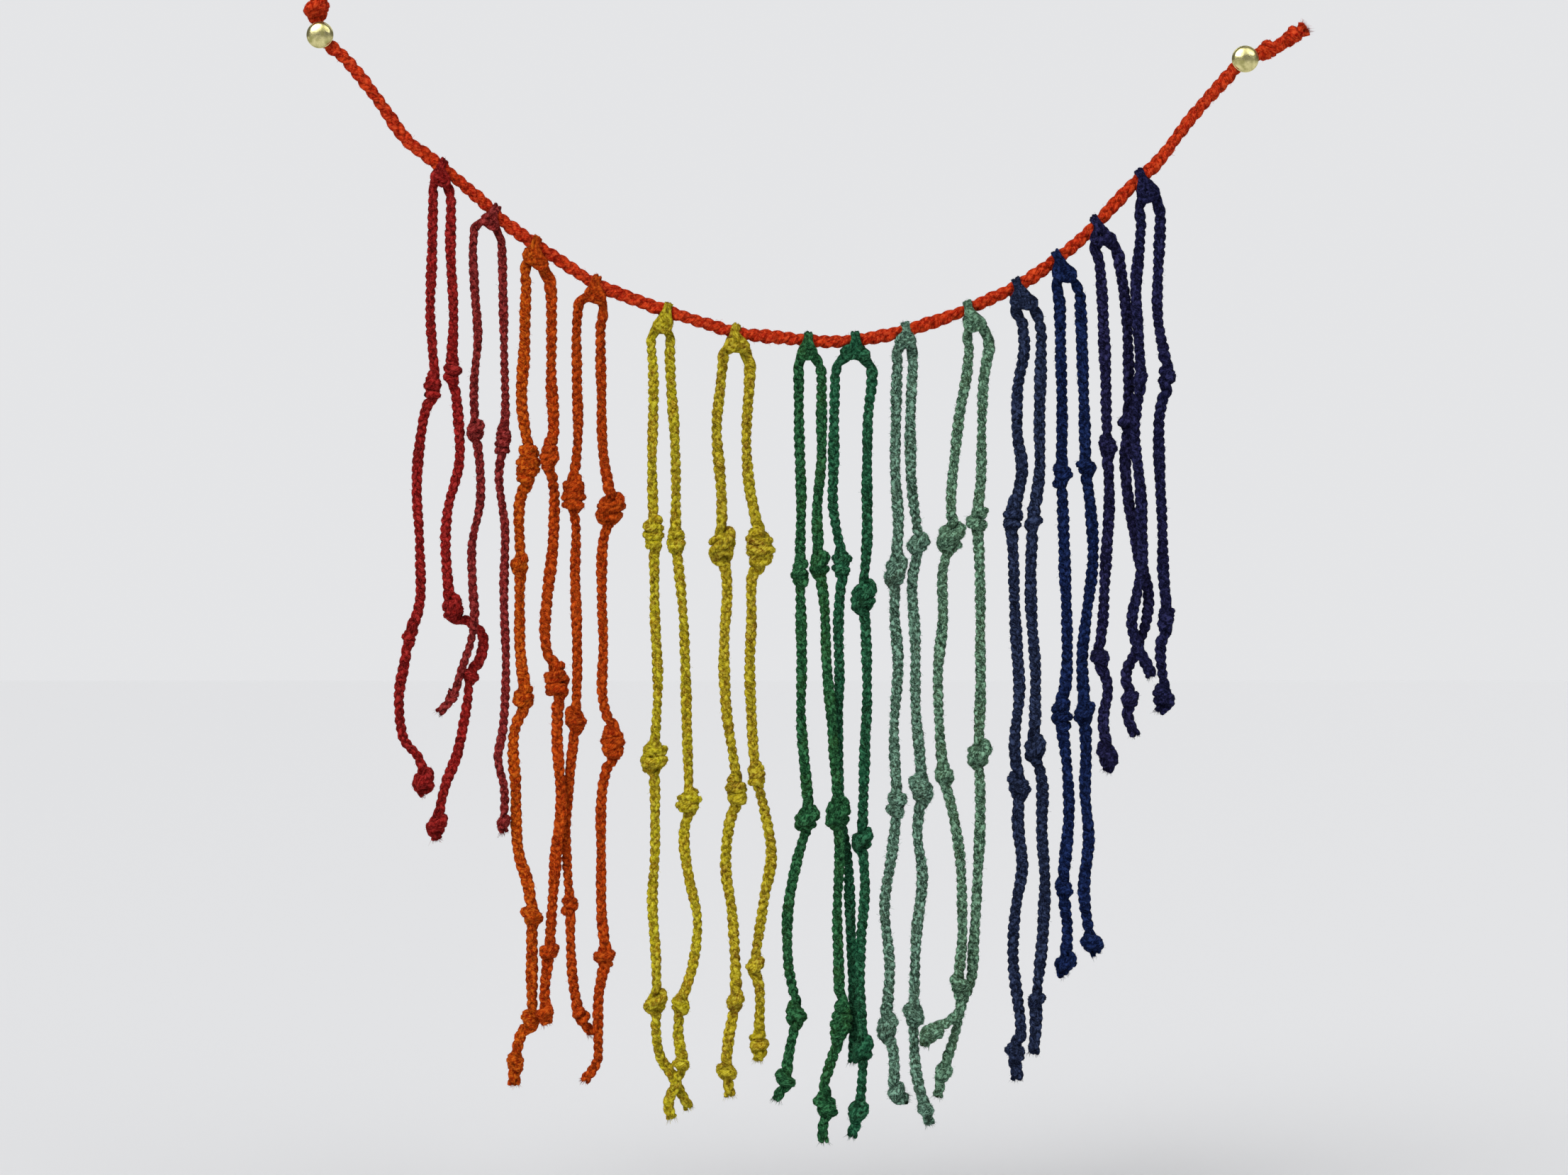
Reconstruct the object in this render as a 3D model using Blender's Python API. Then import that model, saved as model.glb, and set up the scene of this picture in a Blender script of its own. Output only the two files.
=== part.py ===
"""Inca quipu: a primary cord pinned to a wall by two brass-capped pins, with fourteen
knotted pendant cords hitched along it. The front faces -Y, up is +Z, and the origin is the
left pin on the plane of the wall, y = 0."""

import math

import bmesh
import bpy
import numpy as np
from mathutils import Vector

# Sizes in millimetres.
CLEARANCE = 0.3
PRIMARY_THICK = 4.4
PRIMARY_Y_AT_PIN = -4.2
PRIMARY_Y = -4.8
LEG_Y = -5.4
SQUEEZED_THICK = 1.8
BAR_THICK = 2.6
BAR_Y = -8.2
WRAP_START = math.radians(-22.5)
WRAP_STEPS = 6
WRAP_STEP = math.radians(37.5)
BORE_THICK = 1.6
BORE_FRONT_Y = -12.0
BORE_BACK_Y = 6.0
NECK_THICK = 3.0
NECK_ROOM = 0.1

PIN_CAP_WIDTH = 9.5
PIN_CAP_RISE = 2.4
PIN_CAP_EDGE = 0.5
PIN_CAP_BACK_Y = -6.6
PIN_RECESS_DEEP = 0.5
PIN_FLANGE_WIDTH = 3.0
PIN_POINT_THICK = 1.0
PIN_POINT_TIP_Y = 4.0
PIN_POINT_TAPER = 2.0
LEFT_PIN = (0.0, 0.0)
RIGHT_PIN = (326.0, -8.5)

SIDES = 8
STRAIGHT_STEP = 18.0
PRIMARY_STEP = 8.5

# Every route is a list of places on the wall plane, (across, up). A place with two more
# values is a knot: (across, up, knot width, knot height).
PRIMARY_ROUTE = [
    (-1.5, 20), (-1.25, 9.75, 8.5, 8), LEFT_PIN, (8.75, -8.25), (19.75, -22),
    (30.75, -37.25), (37, -42), (46.5, -49.5), (57.25, -58.75), (65.25, -66.25),
    (75.75, -73.75), (84.5, -79.5), (97, -87.5), (108, -92), (122.25, -97.25),
    (137.25, -102), (147.75, -105), (162, -106.5), (177.5, -108), (185.5, -107.75),
    (199.5, -105.75), (210.75, -102.75), (224.25, -98.25), (235.75, -93.25),
    (247.25, -87.75), (257.5, -80.75), (267.75, -72.5), (273.75, -66.5), (286.25, -53),
    (295, -45), (307.25, -29), (318.25, -16.5), RIGHT_PIN, (334.25, -5, 7.25, 7),
    (338.5, -2.75), (343, 0, 5.5, 8), (347.5, 3),
]  # fmt: skip

# The depth of a route where it leaves the usual one is a list of (up, y) beside it.
PENDANTS = {
    "red_pendant_1": {
        "thick": 3.6,
        "colour": (0.402, 0.007, 0.007),
        "hitch": (42.25, -47.5),
        "left": [
            (39.75, -50), (39.75, -56.5), (39.5, -72.5), (38.75, -97),
            (39.75, -123.5, 6.25, 10), (36.5, -134.5), (34, -158), (35, -180), (35, -200),
            (31.5, -212, 5.75, 8.5), (29.5, -222), (27.75, -234), (29.5, -248.5),
            (34.5, -254.5), (36.5, -262.75, 8, 8), (36, -267.5),
        ],
        "right": [
            (45, -52), (46, -59), (46, -77), (47, -100), (46.5, -118, 6.25, 11),
            (48.25, -131), (49, -150), (45, -167), (44.25, -184),
            (46.75, -201.75, 7.75, 9), (51, -206), (56.75, -211), (56.75, -218),
            (53, -226.25, 5, 5.5), (51.5, -237.5), (48, -254), (44.25, -264),
            (41.25, -278.25, 7, 7.5), (41, -283.5),
        ],
        "right_depth": [
            (-196, -5.4), (-203, -2.7), (-214, -2.7), (-223, -4.4), (-236, -5.4),
        ],
    },
    "red_pendant_2": {
        "thick": 3.1,
        "colour": (0.305, 0.007, 0.013),
        "hitch": (61, -62.5),
        "left": [
            (57.25, -64.5), (54.25, -68.5), (53.75, -76), (54.5, -90), (55.5, -106),
            (54.25, -122.5), (54.75, -139, 6.5, 7.5), (56.25, -152), (56.25, -165),
            (53.5, -179.5), (53.75, -194), (54.5, -206), (53.25, -214), (50.5, -222),
            (46.5, -233, 4.5, 6.25), (42, -239),
        ],
        "left_depth": [(-190, -5.4), (-200, -7.9), (-224, -7.9), (-234, -5.8)],
        "right": [
            (62.75, -68), (64, -75), (64.5, -92), (64.75, -111), (65.25, -130),
            (64.5, -142.5, 6, 11), (63, -155.5), (65, -173.5), (64.75, -200), (65.5, -222),
            (65, -236), (64.25, -246), (62.75, -255), (65, -266),
            (64.75, -277.5, 4.5, 5), (64.75, -281),
        ],
        "right_depth": [(-240, -5.4), (-262, -7.4), (-281, -7.6)],
    },
    "orange_pendant_1": {
        "thick": 4.0,
        "colour": (0.456, 0.101, 0.010),
        "hitch": (75.25, -74.25),
        "left": [
            (72.25, -77.25), (72.5, -88), (72, -108.75), (71, -128),
            (73.25, -151.5, 8.5, 14), (70.25, -166), (70.5, -186, 5, 7), (70.25, -213.5),
            (71.75, -233.5, 8, 9), (68.25, -247), (68.75, -264), (70, -288.5),
            (73, -298.75), (74.5, -309.75, 6.75, 7), (74.5, -330),
            (74, -347, 6.5, 6.25), (70.5, -353), (68.75, -362, 6, 7), (68.25, -370),
        ],
        "right": [
            (79.75, -81.75), (81.5, -91), (81.5, -104), (81.5, -122), (82.25, -139),
            (81, -149.25, 7, 10), (82.5, -162), (82, -180), (80, -198),
            (79.5, -215), (83.25, -227.75, 9, 12), (83.5, -247), (85, -274),
            (83.25, -288), (82, -304), (80.75, -323, 6.75, 5.25), (79.25, -337),
            (79.75, -344.5, 5, 6), (80, -348),
        ],
        "right_depth": [
            (-132, -5.4), (-149, -8.4), (-166, -5.4), (-255, -5.4), (-268, -7.9),
            (-286, -7.9), (-300, -5.4), (-326, -5.4), (-344, -9),
        ],
    },
    "orange_pendant_2": {
        "thick": 3.6,
        "colour": (0.578, 0.061, 0.007),
        "hitch": (97.5, -87.75),
        "left": [
            (93.75, -91), (91, -95.5), (90.25, -106), (90.5, -119.5), (90.75, -142.5),
            (89.25, -162, 8.5, 12.5), (90.25, -176), (89.75, -189), (90.5, -211),
            (90, -241.5, 7.25, 8.25), (88, -260), (86.5, -276.5), (87.25, -297.5),
            (88, -306.75, 6.5, 7.75), (89, -333), (91.75, -346, 6, 6.25), (95.5, -352.5),
        ],
        "left_depth": [
            (-250, -5.4), (-266, -3), (-286, -3), (-300, -5.4), (-334, -5.4),
            (-346, -4), (-352, -2.6),
        ],
        "right": [
            (100.5, -93.5), (98.75, -103), (99, -122.5), (99.75, -147.5),
            (102.25, -167, 10, 9.75), (99.5, -180), (99.25, -197.5), (99.75, -215),
            (99.5, -233), (103, -249.5, 8.25, 12.5), (99.5, -265), (99, -287.5),
            (99.25, -310), (100.25, -325.25, 8.25, 7.5), (98.25, -338), (98, -352),
            (97.5, -362), (93, -368.75),
        ],
        "right_depth": [(-330, -5.4), (-342, -7.4), (-358, -7.4), (-368, -6)],
    },
    "yellow_pendant_1": {
        "thick": 3.6,
        "colour": (0.515, 0.456, 0.013),
        "hitch": (121.5, -97.25),
        "left": [
            (118, -102.5), (116.5, -108.5), (117.5, -120), (117, -148),
            (117.5, -176, 7.25, 12), (117.75, -190), (118, -205), (119, -230),
            (117.75, -254.75, 9.75, 11), (118, -272.5), (118, -289), (117, -305),
            (118.25, -323.5), (118.5, -340.75, 8, 8.25), (118.5, -353), (120, -361),
            (124, -367), (127, -373), (130, -378.5),
        ],
        "left_depth": [(-352, -5.4), (-362, -3.6), (-370, -3.2), (-379, -4)],
        "right": [
            (123.5, -103.5), (123.25, -112), (123.75, -124), (125.25, -147.5),
            (125.5, -178, 7, 10.5), (127, -193.75), (128.5, -215), (129, -238),
            (129.75, -270.25, 8.5, 9.25), (128.25, -283), (130, -297.5), (133, -312.5),
            (131.5, -327), (127.25, -341.75, 6.5, 7.25), (126.25, -352),
            (127.5, -362.5, 5.5, 5), (125, -370.5), (122.75, -377), (124, -381.75),
        ],
        "right_depth": [(-352, -5.4), (-361, -7.8), (-372, -7.8), (-381, -6.6)],
    },
    "yellow_pendant_2": {
        "thick": 3.8,
        "colour": (0.638, 0.402, 0.013),
        "hitch": (147, -104.75),
        "left": [
            (143, -109), (142, -114.5), (141, -124.5), (139.75, -140), (141.5, -162),
            (141.75, -179.75, 9.5, 11.5), (143.5, -194), (142.5, -212.5), (143, -236.5),
            (146.75, -266.25, 8, 10.5), (144, -279.5), (143, -294), (145.5, -312.5),
            (146.25, -340.25, 6, 7.75), (144, -353.75), (143.25, -365, 7.25, 6.25),
            (144.5, -374),
        ],
        "right": [
            (151.25, -110.5), (151.25, -122.5), (150.25, -141.75), (151.25, -159),
            (155, -180.75, 10, 13), (152.25, -192), (152, -205), (151.5, -220),
            (152, -241), (153.75, -260.5, 6.5, 9.25), (157, -275), (159, -289.25),
            (156.5, -305), (153.5, -328, 6, 6), (155, -338), (154.5, -356, 6.5, 10),
            (154.5, -361.25),
        ],
        "right_depth": [(-243, -5.4), (-260, -8.4), (-277, -5.4)],
    },
    "green_pendant_1": {
        "thick": 3.7,
        "colour": (0.005, 0.156, 0.061),
        "hitch": (171.75, -107.5),
        "left": [
            (168.75, -112.5), (168.75, -120), (168.75, -137), (169.5, -160),
            (169.25, -190, 6.5, 9.75), (169.5, -206), (169.75, -226), (169.5, -242),
            (171.75, -276, 8.25, 9), (168, -291.25), (164.75, -310), (165, -327),
            (167.75, -344.75, 6.5, 8.5), (165.25, -358.75), (163.75, -368.25, 7.25, 5.75),
            (160.75, -375.5),
        ],
        "right": [
            (174.5, -112), (176.75, -119.5), (176.75, -132), (176.75, -148),
            (175.25, -168), (176, -186, 6.75, 9.5), (177.75, -201), (178.5, -220),
            (180.25, -241.5), (182.5, -273.75, 9, 10), (183, -290), (182.25, -311),
            (183, -334), (183.5, -348, 7, 16), (179.75, -363), (177.75, -370),
            (178.25, -377, 7.75, 8.5), (177.25, -385), (177.25, -390.25),
        ],
        "right_depth": [
            (-225, -5.4), (-240, -8.4), (-262, -9.4), (-282, -9.4), (-296, -7.6),
            (-350, -7.6), (-364, -5.4),
        ],
    },
    "green_pendant_2": {
        "thick": 3.7,
        "colour": (0.006, 0.130, 0.058),
        "hitch": (188.25, -107.5),
        "left": [
            (183.75, -112), (181.5, -120), (181.25, -132), (181, -150), (180.75, -165),
            (183.75, -186.5, 7, 10.5), (182.75, -204), (183, -225), (182.5, -250),
            (183.25, -274), (186, -291), (187, -313.25), (187.75, -331), (188.25, -345),
            (188, -362.5),
        ],
        "left_depth": [
            (-206, -5.4), (-232, -3.2), (-282, -2.6), (-300, -3.2), (-362, -2.8),
        ],
        "right": [
            (193.75, -113), (194.5, -122.5), (193.25, -134), (192.75, -149),
            (192.75, -176), (191.75, -197.5, 9, 11.5), (192.5, -214), (192.75, -234),
            (191.75, -259), (191.25, -283.5, 7.5, 8), (192, -301), (190.5, -320),
            (190.25, -335), (191.25, -356.75, 7.25, 8.5), (191, -369),
            (189.75, -379.5, 6.75, 8), (187.25, -388.25),
        ],
        "right_depth": [(-288, -5.4), (-310, -7.6), (-360, -8.2), (-376, -6.4)],
    },
    "pale_green_pendant_1": {
        "thick": 3.8,
        "colour": (0.130, 0.352, 0.254),
        "hitch": (206.25, -104),
        "left": [
            (203.5, -108.75), (203.5, -116), (203, -132), (202.75, -152.5),
            (203.75, -172), (203, -189, 8, 11.25), (202.5, -205), (203.75, -222.5),
            (202.25, -245), (203.25, -271.5, 8, 7.5), (201.75, -287.5), (199, -306.25),
            (200.75, -327.5), (200, -349.25, 7.5, 9), (202.25, -359.75),
            (203.25, -372.5, 6.25, 6), (207, -375),
        ],
        "right": [
            (209, -108.25), (208.75, -120), (208, -142.5), (208.75, -161),
            (210.75, -179.25, 8, 6.75), (208.75, -192.5), (209.75, -212.5),
            (210, -237.5), (212, -265.75, 8, 10.25), (210.5, -281), (212.25, -296),
            (210.25, -317), (209.25, -345, 7, 8.5), (209.5, -357.5), (210.5, -368),
            (213.25, -378.25, 5.5, 6), (214.75, -383.75),
        ],
        "right_depth": [(-352, -5.4), (-368, -7), (-384, -7.2)],
    },
    "pale_green_pendant_2": {
        "thick": 3.7,
        "colour": (0.045, 0.319, 0.156),
        "hitch": (229.25, -96.5),
        "left": [
            (227.5, -102.5), (228.75, -110), (228, -119), (225.25, -135), (222.5, -162),
            (222.5, -176.75, 9.5, 10), (219.5, -189), (219.5, -206), (217.75, -227.5),
            (220, -261, 7.25, 8.5), (223.25, -275), (225.75, -292.5), (226.25, -318),
            (225, -334.5, 6.25, 6.25), (225.5, -343.5), (221.5, -347.5),
            (215.75, -351.25, 6.75, 7.5), (213, -356),
        ],
        "left_depth": [
            (-306, -5.4), (-322, -7.4), (-346, -7.8), (-351, -8.4), (-357, -8.6),
        ],
        "right": [
            (234.25, -102), (236, -110), (234, -121), (233.25, -138), (233, -155),
            (231.75, -170.5, 8.5, 8.25), (232.5, -186), (232.75, -207), (232.75, -230),
            (232.25, -253.5, 8.25, 9.25), (232.75, -271), (231.75, -297.5),
            (230.5, -320), (229.5, -334), (226.5, -341.5), (223.75, -353),
            (219.75, -366, 5.5, 7), (217.75, -374.5),
        ],
        "right_depth": [(-308, -5.4), (-326, -2.8), (-350, -2.4), (-364, -3.6), (-374, -2.9)],
    },
    "blue_pendant_1": {
        "thick": 4.1,
        "colour": (0.010, 0.015, 0.085),
        "hitch": (246, -88.25),
        "left": [
            (244, -94.5), (247.5, -101.5), (248.25, -111), (246, -124), (245.75, -140),
            (247.5, -153), (244.25, -170, 7.25, 11), (244.5, -189.5), (245.5, -215),
            (246.5, -232), (244.75, -250), (246.25, -264.5, 7.75, 9.25), (246, -278),
            (247.5, -293), (245.5, -306), (244.25, -326), (247, -352),
            (245, -358.5, 6.75, 6.25), (245.75, -368.25),
        ],
        "right": [
            (252.25, -94.5), (254.25, -106), (254, -121), (253.5, -138), (253.75, -153),
            (251.5, -170.5, 5.75, 9), (250.5, -189), (251, -208), (252.25, -226),
            (252, -240), (252, -251.25, 7.5, 9.25), (254.5, -264), (254.5, -282.5),
            (255.5, -300), (254.5, -320), (252.5, -340.25, 5.25, 5), (252.25, -350),
            (251.5, -359),
        ],
    },
    "blue_pendant_2": {
        "thick": 4.1,
        "colour": (0.007, 0.010, 0.127),
        "hitch": (260, -79),
        "left": [
            (259, -84.75), (260.75, -94), (261, -110), (261.5, -126),
            (261.5, -155, 7.75, 9), (262, -172.5), (263, -200), (263.25, -224),
            (261.5, -239.25, 7.5, 11), (263.25, -257.5), (264, -275),
            (262, -300.5, 6.25, 7.5), (263.5, -315), (262.75, -327, 7.5, 7),
            (262.75, -331.5),
        ],
        "right": [
            (265.5, -84.5), (268, -92), (268.5, -108), (269.25, -128),
            (270, -152.25, 6.5, 5.75), (271.75, -168.75), (272.5, -185), (270, -206), (268.75, -220),
            (269.5, -238.5, 7, 9), (270, -255), (269.75, -268), (271, -284),
            (269.25, -303), (272, -319.5, 7, 7), (273.5, -324),
        ],
    },
    "indigo_pendant_1": {
        "thick": 4.0,
        "colour": (0.020, 0.012, 0.095),
        "hitch": (273.25, -66.75),
        "left": [
            (272.25, -72.5), (274.75, -80), (275.75, -92), (276.25, -104), (277, -123),
            (277.5, -144.75, 6, 8.5), (278.25, -165), (277, -185), (276, -206),
            (274.75, -219.5, 6.5, 6), (277.75, -230), (276, -241.25),
            (277.5, -253.5, 7, 9), (277.5, -259.5),
        ],
        "right": [
            (280, -72), (282, -81), (283.75, -92), (284.75, -105),
            (285.25, -135, 7.25, 7.25), (284, -150), (285.75, -167.5), (288.5, -182.5),
            (292.25, -197), (291.25, -207.5), (287.5, -218), (284.25, -225.5),
            (285.5, -234, 6, 5), (284.5, -239), (287.25, -247),
        ],
        "right_depth": [
            (-88, -5.4), (-102, -4.2), (-135, -4.2), (-148, -3.4), (-220, -2.6),
            (-232, -5.4),
        ],
    },
    "indigo_pendant_2": {
        "thick": 3.9,
        "colour": (0.017, 0.010, 0.105),
        "hitch": (289, -50),
        "left": [
            (288.5, -57.5), (289.5, -66), (288.75, -76), (287.5, -88), (288, -103),
            (288.75, -121.75, 5.5, 6.25), (287.5, -132), (287, -143), (288.75, -158),
            (289.5, -173), (289.75, -185), (287.75, -197), (286, -206.5),
            (287.75, -215), (291, -221.5), (293, -226),
        ],
        "left_depth": [
            (-84, -5.4), (-100, -8.8), (-122, -9.6), (-146, -9.6), (-170, -7.6),
            (-218, -7.4), (-226, -6.4),
        ],
        "right": [
            (295.25, -55.5), (296.25, -66), (295.25, -88), (295.5, -101),
            (298.5, -120.75, 7, 8.5), (296, -134), (295.75, -148), (296.75, -168),
            (297.25, -188), (298.25, -206, 6.25, 9.5), (296.25, -217),
            (297.5, -233, 7.5, 8), (295.75, -238.5),
        ],
    },
}  # fmt: skip

PRIMARY_COLOUR = (0.578, 0.030, 0.008)
BRASS = (0.62, 0.43, 0.12)
STEEL = (0.45, 0.45, 0.46)


def metres(points):
    return [tuple(value / 1000 for value in point) for point in points]


def direction_at(line, index, reach=2):
    """The way a line of points runs at one of them."""
    ahead = line[index + reach] - line[index - reach]
    return ahead / np.linalg.norm(ahead)


def curve_through(points, per_span=8):
    """Points along a smooth curve through the given ones, as a centripetal spline."""
    p = [np.array(point, float) for point in points]
    p = [2 * p[0] - p[1], *p, 2 * p[-1] - p[-2]]
    out = []
    for i in range(1, len(p) - 2):
        a, b, c, d = p[i - 1 : i + 3]
        t0 = 0.0
        t1 = t0 + max(np.linalg.norm(b - a), 1e-6) ** 0.5
        t2 = t1 + max(np.linalg.norm(c - b), 1e-6) ** 0.5
        t3 = t2 + max(np.linalg.norm(d - c), 1e-6) ** 0.5
        for k in range(per_span):
            t = t1 + (t2 - t1) * k / per_span
            ab = ((t1 - t) * a + (t - t0) * b) / (t1 - t0)
            bc = ((t2 - t) * b + (t - t1) * c) / (t2 - t1)
            cd = ((t3 - t) * c + (t - t2) * d) / (t3 - t2)
            abc = ((t2 - t) * ab + (t - t0) * bc) / (t2 - t0)
            bcd = ((t3 - t) * bc + (t - t1) * cd) / (t3 - t1)
            out.append(((t2 - t) * abc + (t - t1) * bcd) / (t2 - t1))
    return [*out, p[-2]]


def lengths_along(points):
    steps = [np.linalg.norm(b - a) for a, b in zip(points, points[1:])]
    return np.concatenate([[0], np.cumsum(steps)])


def level_at(up, levels, usual):
    """The y that a route has at this height, read between the (up, y) pairs beside it."""
    if not levels:
        return usual
    ups = [-pair[0] for pair in levels]
    return float(np.interp(-up, ups, [pair[1] for pair in levels]))


def knotted(route, depth_of, thick, step):
    """The 3-D points and radii of a cord along a route, thick at its knots.
    Straight stretches get a point every step, and a knot gets a neck and a shoulder on each side."""
    centres = [np.array([x, depth_of(z), z]) for x, z, *_ in route]
    line = curve_through(centres)
    along = lengths_along(line)
    places = {0.0: thick / 2, float(along[-1]): thick / 2}
    knots = []
    for index, (_, _, *knot) in enumerate(route):
        if not knot:
            continue
        wide, tall = knot
        here = float(along[index * 8])
        for offset, radius in (
            (-0.5, thick / 2), (-0.24, wide / 2), (0.24, wide / 2), (0.5, thick / 2)
        ):  # fmt: skip
            place = here + offset * tall
            if 0 < place < along[-1] - 0.3:
                places[place] = radius
        knots.append((here - 0.5 * tall, here + 0.5 * tall))
    marks = sorted(places)
    for start, end in zip(marks, marks[1:]):
        inside_knot = any(a - 0.01 <= start and end <= b + 0.01 for a, b in knots)
        count = max(1, math.ceil((end - start) / step))
        if inside_knot or count < 2:
            continue
        for k in range(1, count):
            place = start + (end - start) * k / count
            places[place] = places[start] + (places[end] - places[start]) * k / count
    marks = sorted(places)
    xyz = [np.array([np.interp(m, along, [q[i] for q in line]) for i in range(3)]) for m in marks]
    return xyz, [places[m] for m in marks]


def primary_depth(x):
    return float(np.interp(
        x,
        [-1.25, 0, 30, 296, 326, 334, 347],
        [-4.3, PRIMARY_Y_AT_PIN, PRIMARY_Y, PRIMARY_Y, PRIMARY_Y_AT_PIN, -3.8, -3.8],
    ))  # fmt: skip


PRIMARY_LINE = curve_through(
    [np.array([x, primary_depth(x), z]) for x, z, *_ in PRIMARY_ROUTE]
)


def nearest_on_primary(x, z):
    """(distance in the wall plane, index) of the primary cord's closest point."""
    away = [math.hypot(q[0] - x, q[2] - z) for q in PRIMARY_LINE]
    return min(away), int(np.argmin(away))


def clear_of_primary(place, radius):
    """How far before or behind the primary cord a cord of this radius clears it."""
    away, _ = nearest_on_primary(*place)
    need = PRIMARY_THICK / 2 + radius + CLEARANCE
    return math.sqrt(max(0.0, need**2 - away**2))


def behind_primary(place, radius):
    return PRIMARY_Y + clear_of_primary(place, radius)


def before_primary(place, radius):
    return PRIMARY_Y - clear_of_primary(place, radius)


def hitch(pendant):
    """The lark's head: from the left leg up behind the primary cord, over it, down and
    outward, across in front of both legs, and back the same way to the right leg."""
    _, index = nearest_on_primary(*pendant["hitch"])
    centre = PRIMARY_LINE[index][[0, 2]]
    tangent = direction_at(PRIMARY_LINE, index)[[0, 2]]
    tangent /= np.linalg.norm(tangent)
    along = 0.6 * tangent + np.array([0.4, 0])
    along /= np.linalg.norm(along)
    up = np.array([-along[1], along[0]])
    ends = {-1: np.array(pendant["left"][0][:2]), 1: np.array(pendant["right"][0][:2])}
    bar = ends[1] - ends[-1]
    bar /= np.linalg.norm(bar)
    under = np.array([bar[1], -bar[0]])
    thin = SQUEEZED_THICK / 2
    thick = BAR_THICK / 2
    round_it = (PRIMARY_THICK / 2 + thin + CLEARANCE) / math.cos(WRAP_STEP / 2)
    lean = abs(np.dot(tangent, along))
    half = {}
    for side, end in ends.items():
        strand = centre + side * (thin + CLEARANCE / 2) * tangent
        x_z_y = []
        x_z_y.append((end, behind_primary(end, 1.55), 1.45))
        for share, radius in ((0.2, 1.3), (0.45, 1.2), (0.7, 1.1)):
            low = (1 - share) * end + share * (strand - 2.4 * up)
            x_z_y.append((low, behind_primary(low, radius + 0.4), radius))
        for turn in range(WRAP_STEPS + 1):
            angle = WRAP_START + WRAP_STEP * turn
            place = strand + round_it * math.sin(angle) / lean * up
            x_z_y.append((place, PRIMARY_Y + round_it * math.cos(angle), thin))
        fan = 0.45 * strand + 0.55 * end + side * 0.5 * bar
        x_z_y.append((fan, min(before_primary(fan, thin), BAR_Y + 0.4), thin))
        corner = end + side * 0.9 * bar - 0.1 * under
        x_z_y.append((corner, min(before_primary(corner, 1.1), BAR_Y), 1.05))
        inward = end - side * 0.7 * bar + 1.3 * under
        x_z_y.append((inward, min(before_primary(inward, 1.25), BAR_Y), 1.2))
        half[side] = [(np.array([p[0], y, p[1]]), radius) for p, y, radius in x_z_y]
    middle = (ends[-1] + ends[1]) / 2 + 1.5 * under
    y = min(before_primary(middle, thick), BAR_Y)
    bar_middle = (np.array([middle[0], y, middle[1]]), thick)
    return [*half[-1], bar_middle, *reversed(half[1])]


def pendant_line(pendant):
    """All points and radii of a pendant cord, from the left leg's end to the right leg's."""
    legs = {}
    for side in ("left", "right"):
        depth = pendant.get(side + "_depth", [])
        route = pendant[side]
        radius = pendant["thick"] / 2
        start_z = route[0][1]

        def depth_of(z, depth=depth, start_z=start_z, route=route, radius=radius):
            usual = level_at(z, depth, LEG_Y)
            near_top = route[0][0] + (route[1][0] - route[0][0]) * min(
                1.0, (start_z - z) / (start_z - route[1][1])
            )
            behind = behind_primary((near_top, z), radius)
            share = min(1.0, (start_z - z) / 6)
            return max(behind, usual) * (1 - share) + usual * share

        lower = [(x, z, *knot) for x, z, *knot in route[1:]]
        xyz, radii = knotted(lower, depth_of, pendant["thick"], STRAIGHT_STEP)
        x = 0.6 * route[0][0] + 0.4 * route[1][0]
        z = 0.6 * route[0][1] + 0.4 * route[1][1]
        neck = np.array([x, behind_primary((x, z), NECK_THICK / 2 + NECK_ROOM), z])
        legs[side] = [(neck, NECK_THICK / 2), *zip(xyz, radii)]
    return [*reversed(legs["left"]), *hitch(pendant), *legs["right"]]


def tube(name, points, radii, collection, material):
    """A round cord as one curve whose points carry its radius, with filled ends."""
    data = bpy.data.curves.new(name, "CURVE")
    data.dimensions = "3D"
    data.bevel_depth = 0.001
    data.bevel_resolution = (SIDES - 4) // 2
    data.use_fill_caps = True
    data.twist_mode = "MINIMUM"
    spline = data.splines.new("POLY")
    spline.points.add(len(points) - 1)
    for point, place, radius in zip(spline.points, metres(points), radii):
        point.co = (*place, 1)
        point.radius = radius
    data.materials.append(material)
    obj = bpy.data.objects.new(name, data)
    collection.objects.link(obj)
    return obj


def as_mesh(obj, collection):
    """The curve turned into a plain mesh object of the same name, its caps welded on."""
    graph = bpy.context.evaluated_depsgraph_get()
    mesh = bpy.data.meshes.new_from_object(obj.evaluated_get(graph), depsgraph=graph)
    name, matrix = obj.name, obj.matrix_world.copy()
    bpy.data.objects.remove(obj)
    body = bmesh.new()
    body.from_mesh(mesh)
    bmesh.ops.remove_doubles(body, verts=body.verts, dist=1e-6)
    bmesh.ops.recalc_face_normals(body, faces=body.faces)
    body.to_mesh(mesh)
    body.free()
    mesh.name = name
    solid = bpy.data.objects.new(name, mesh)
    solid.matrix_world = matrix
    collection.objects.link(solid)
    return solid


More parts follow.
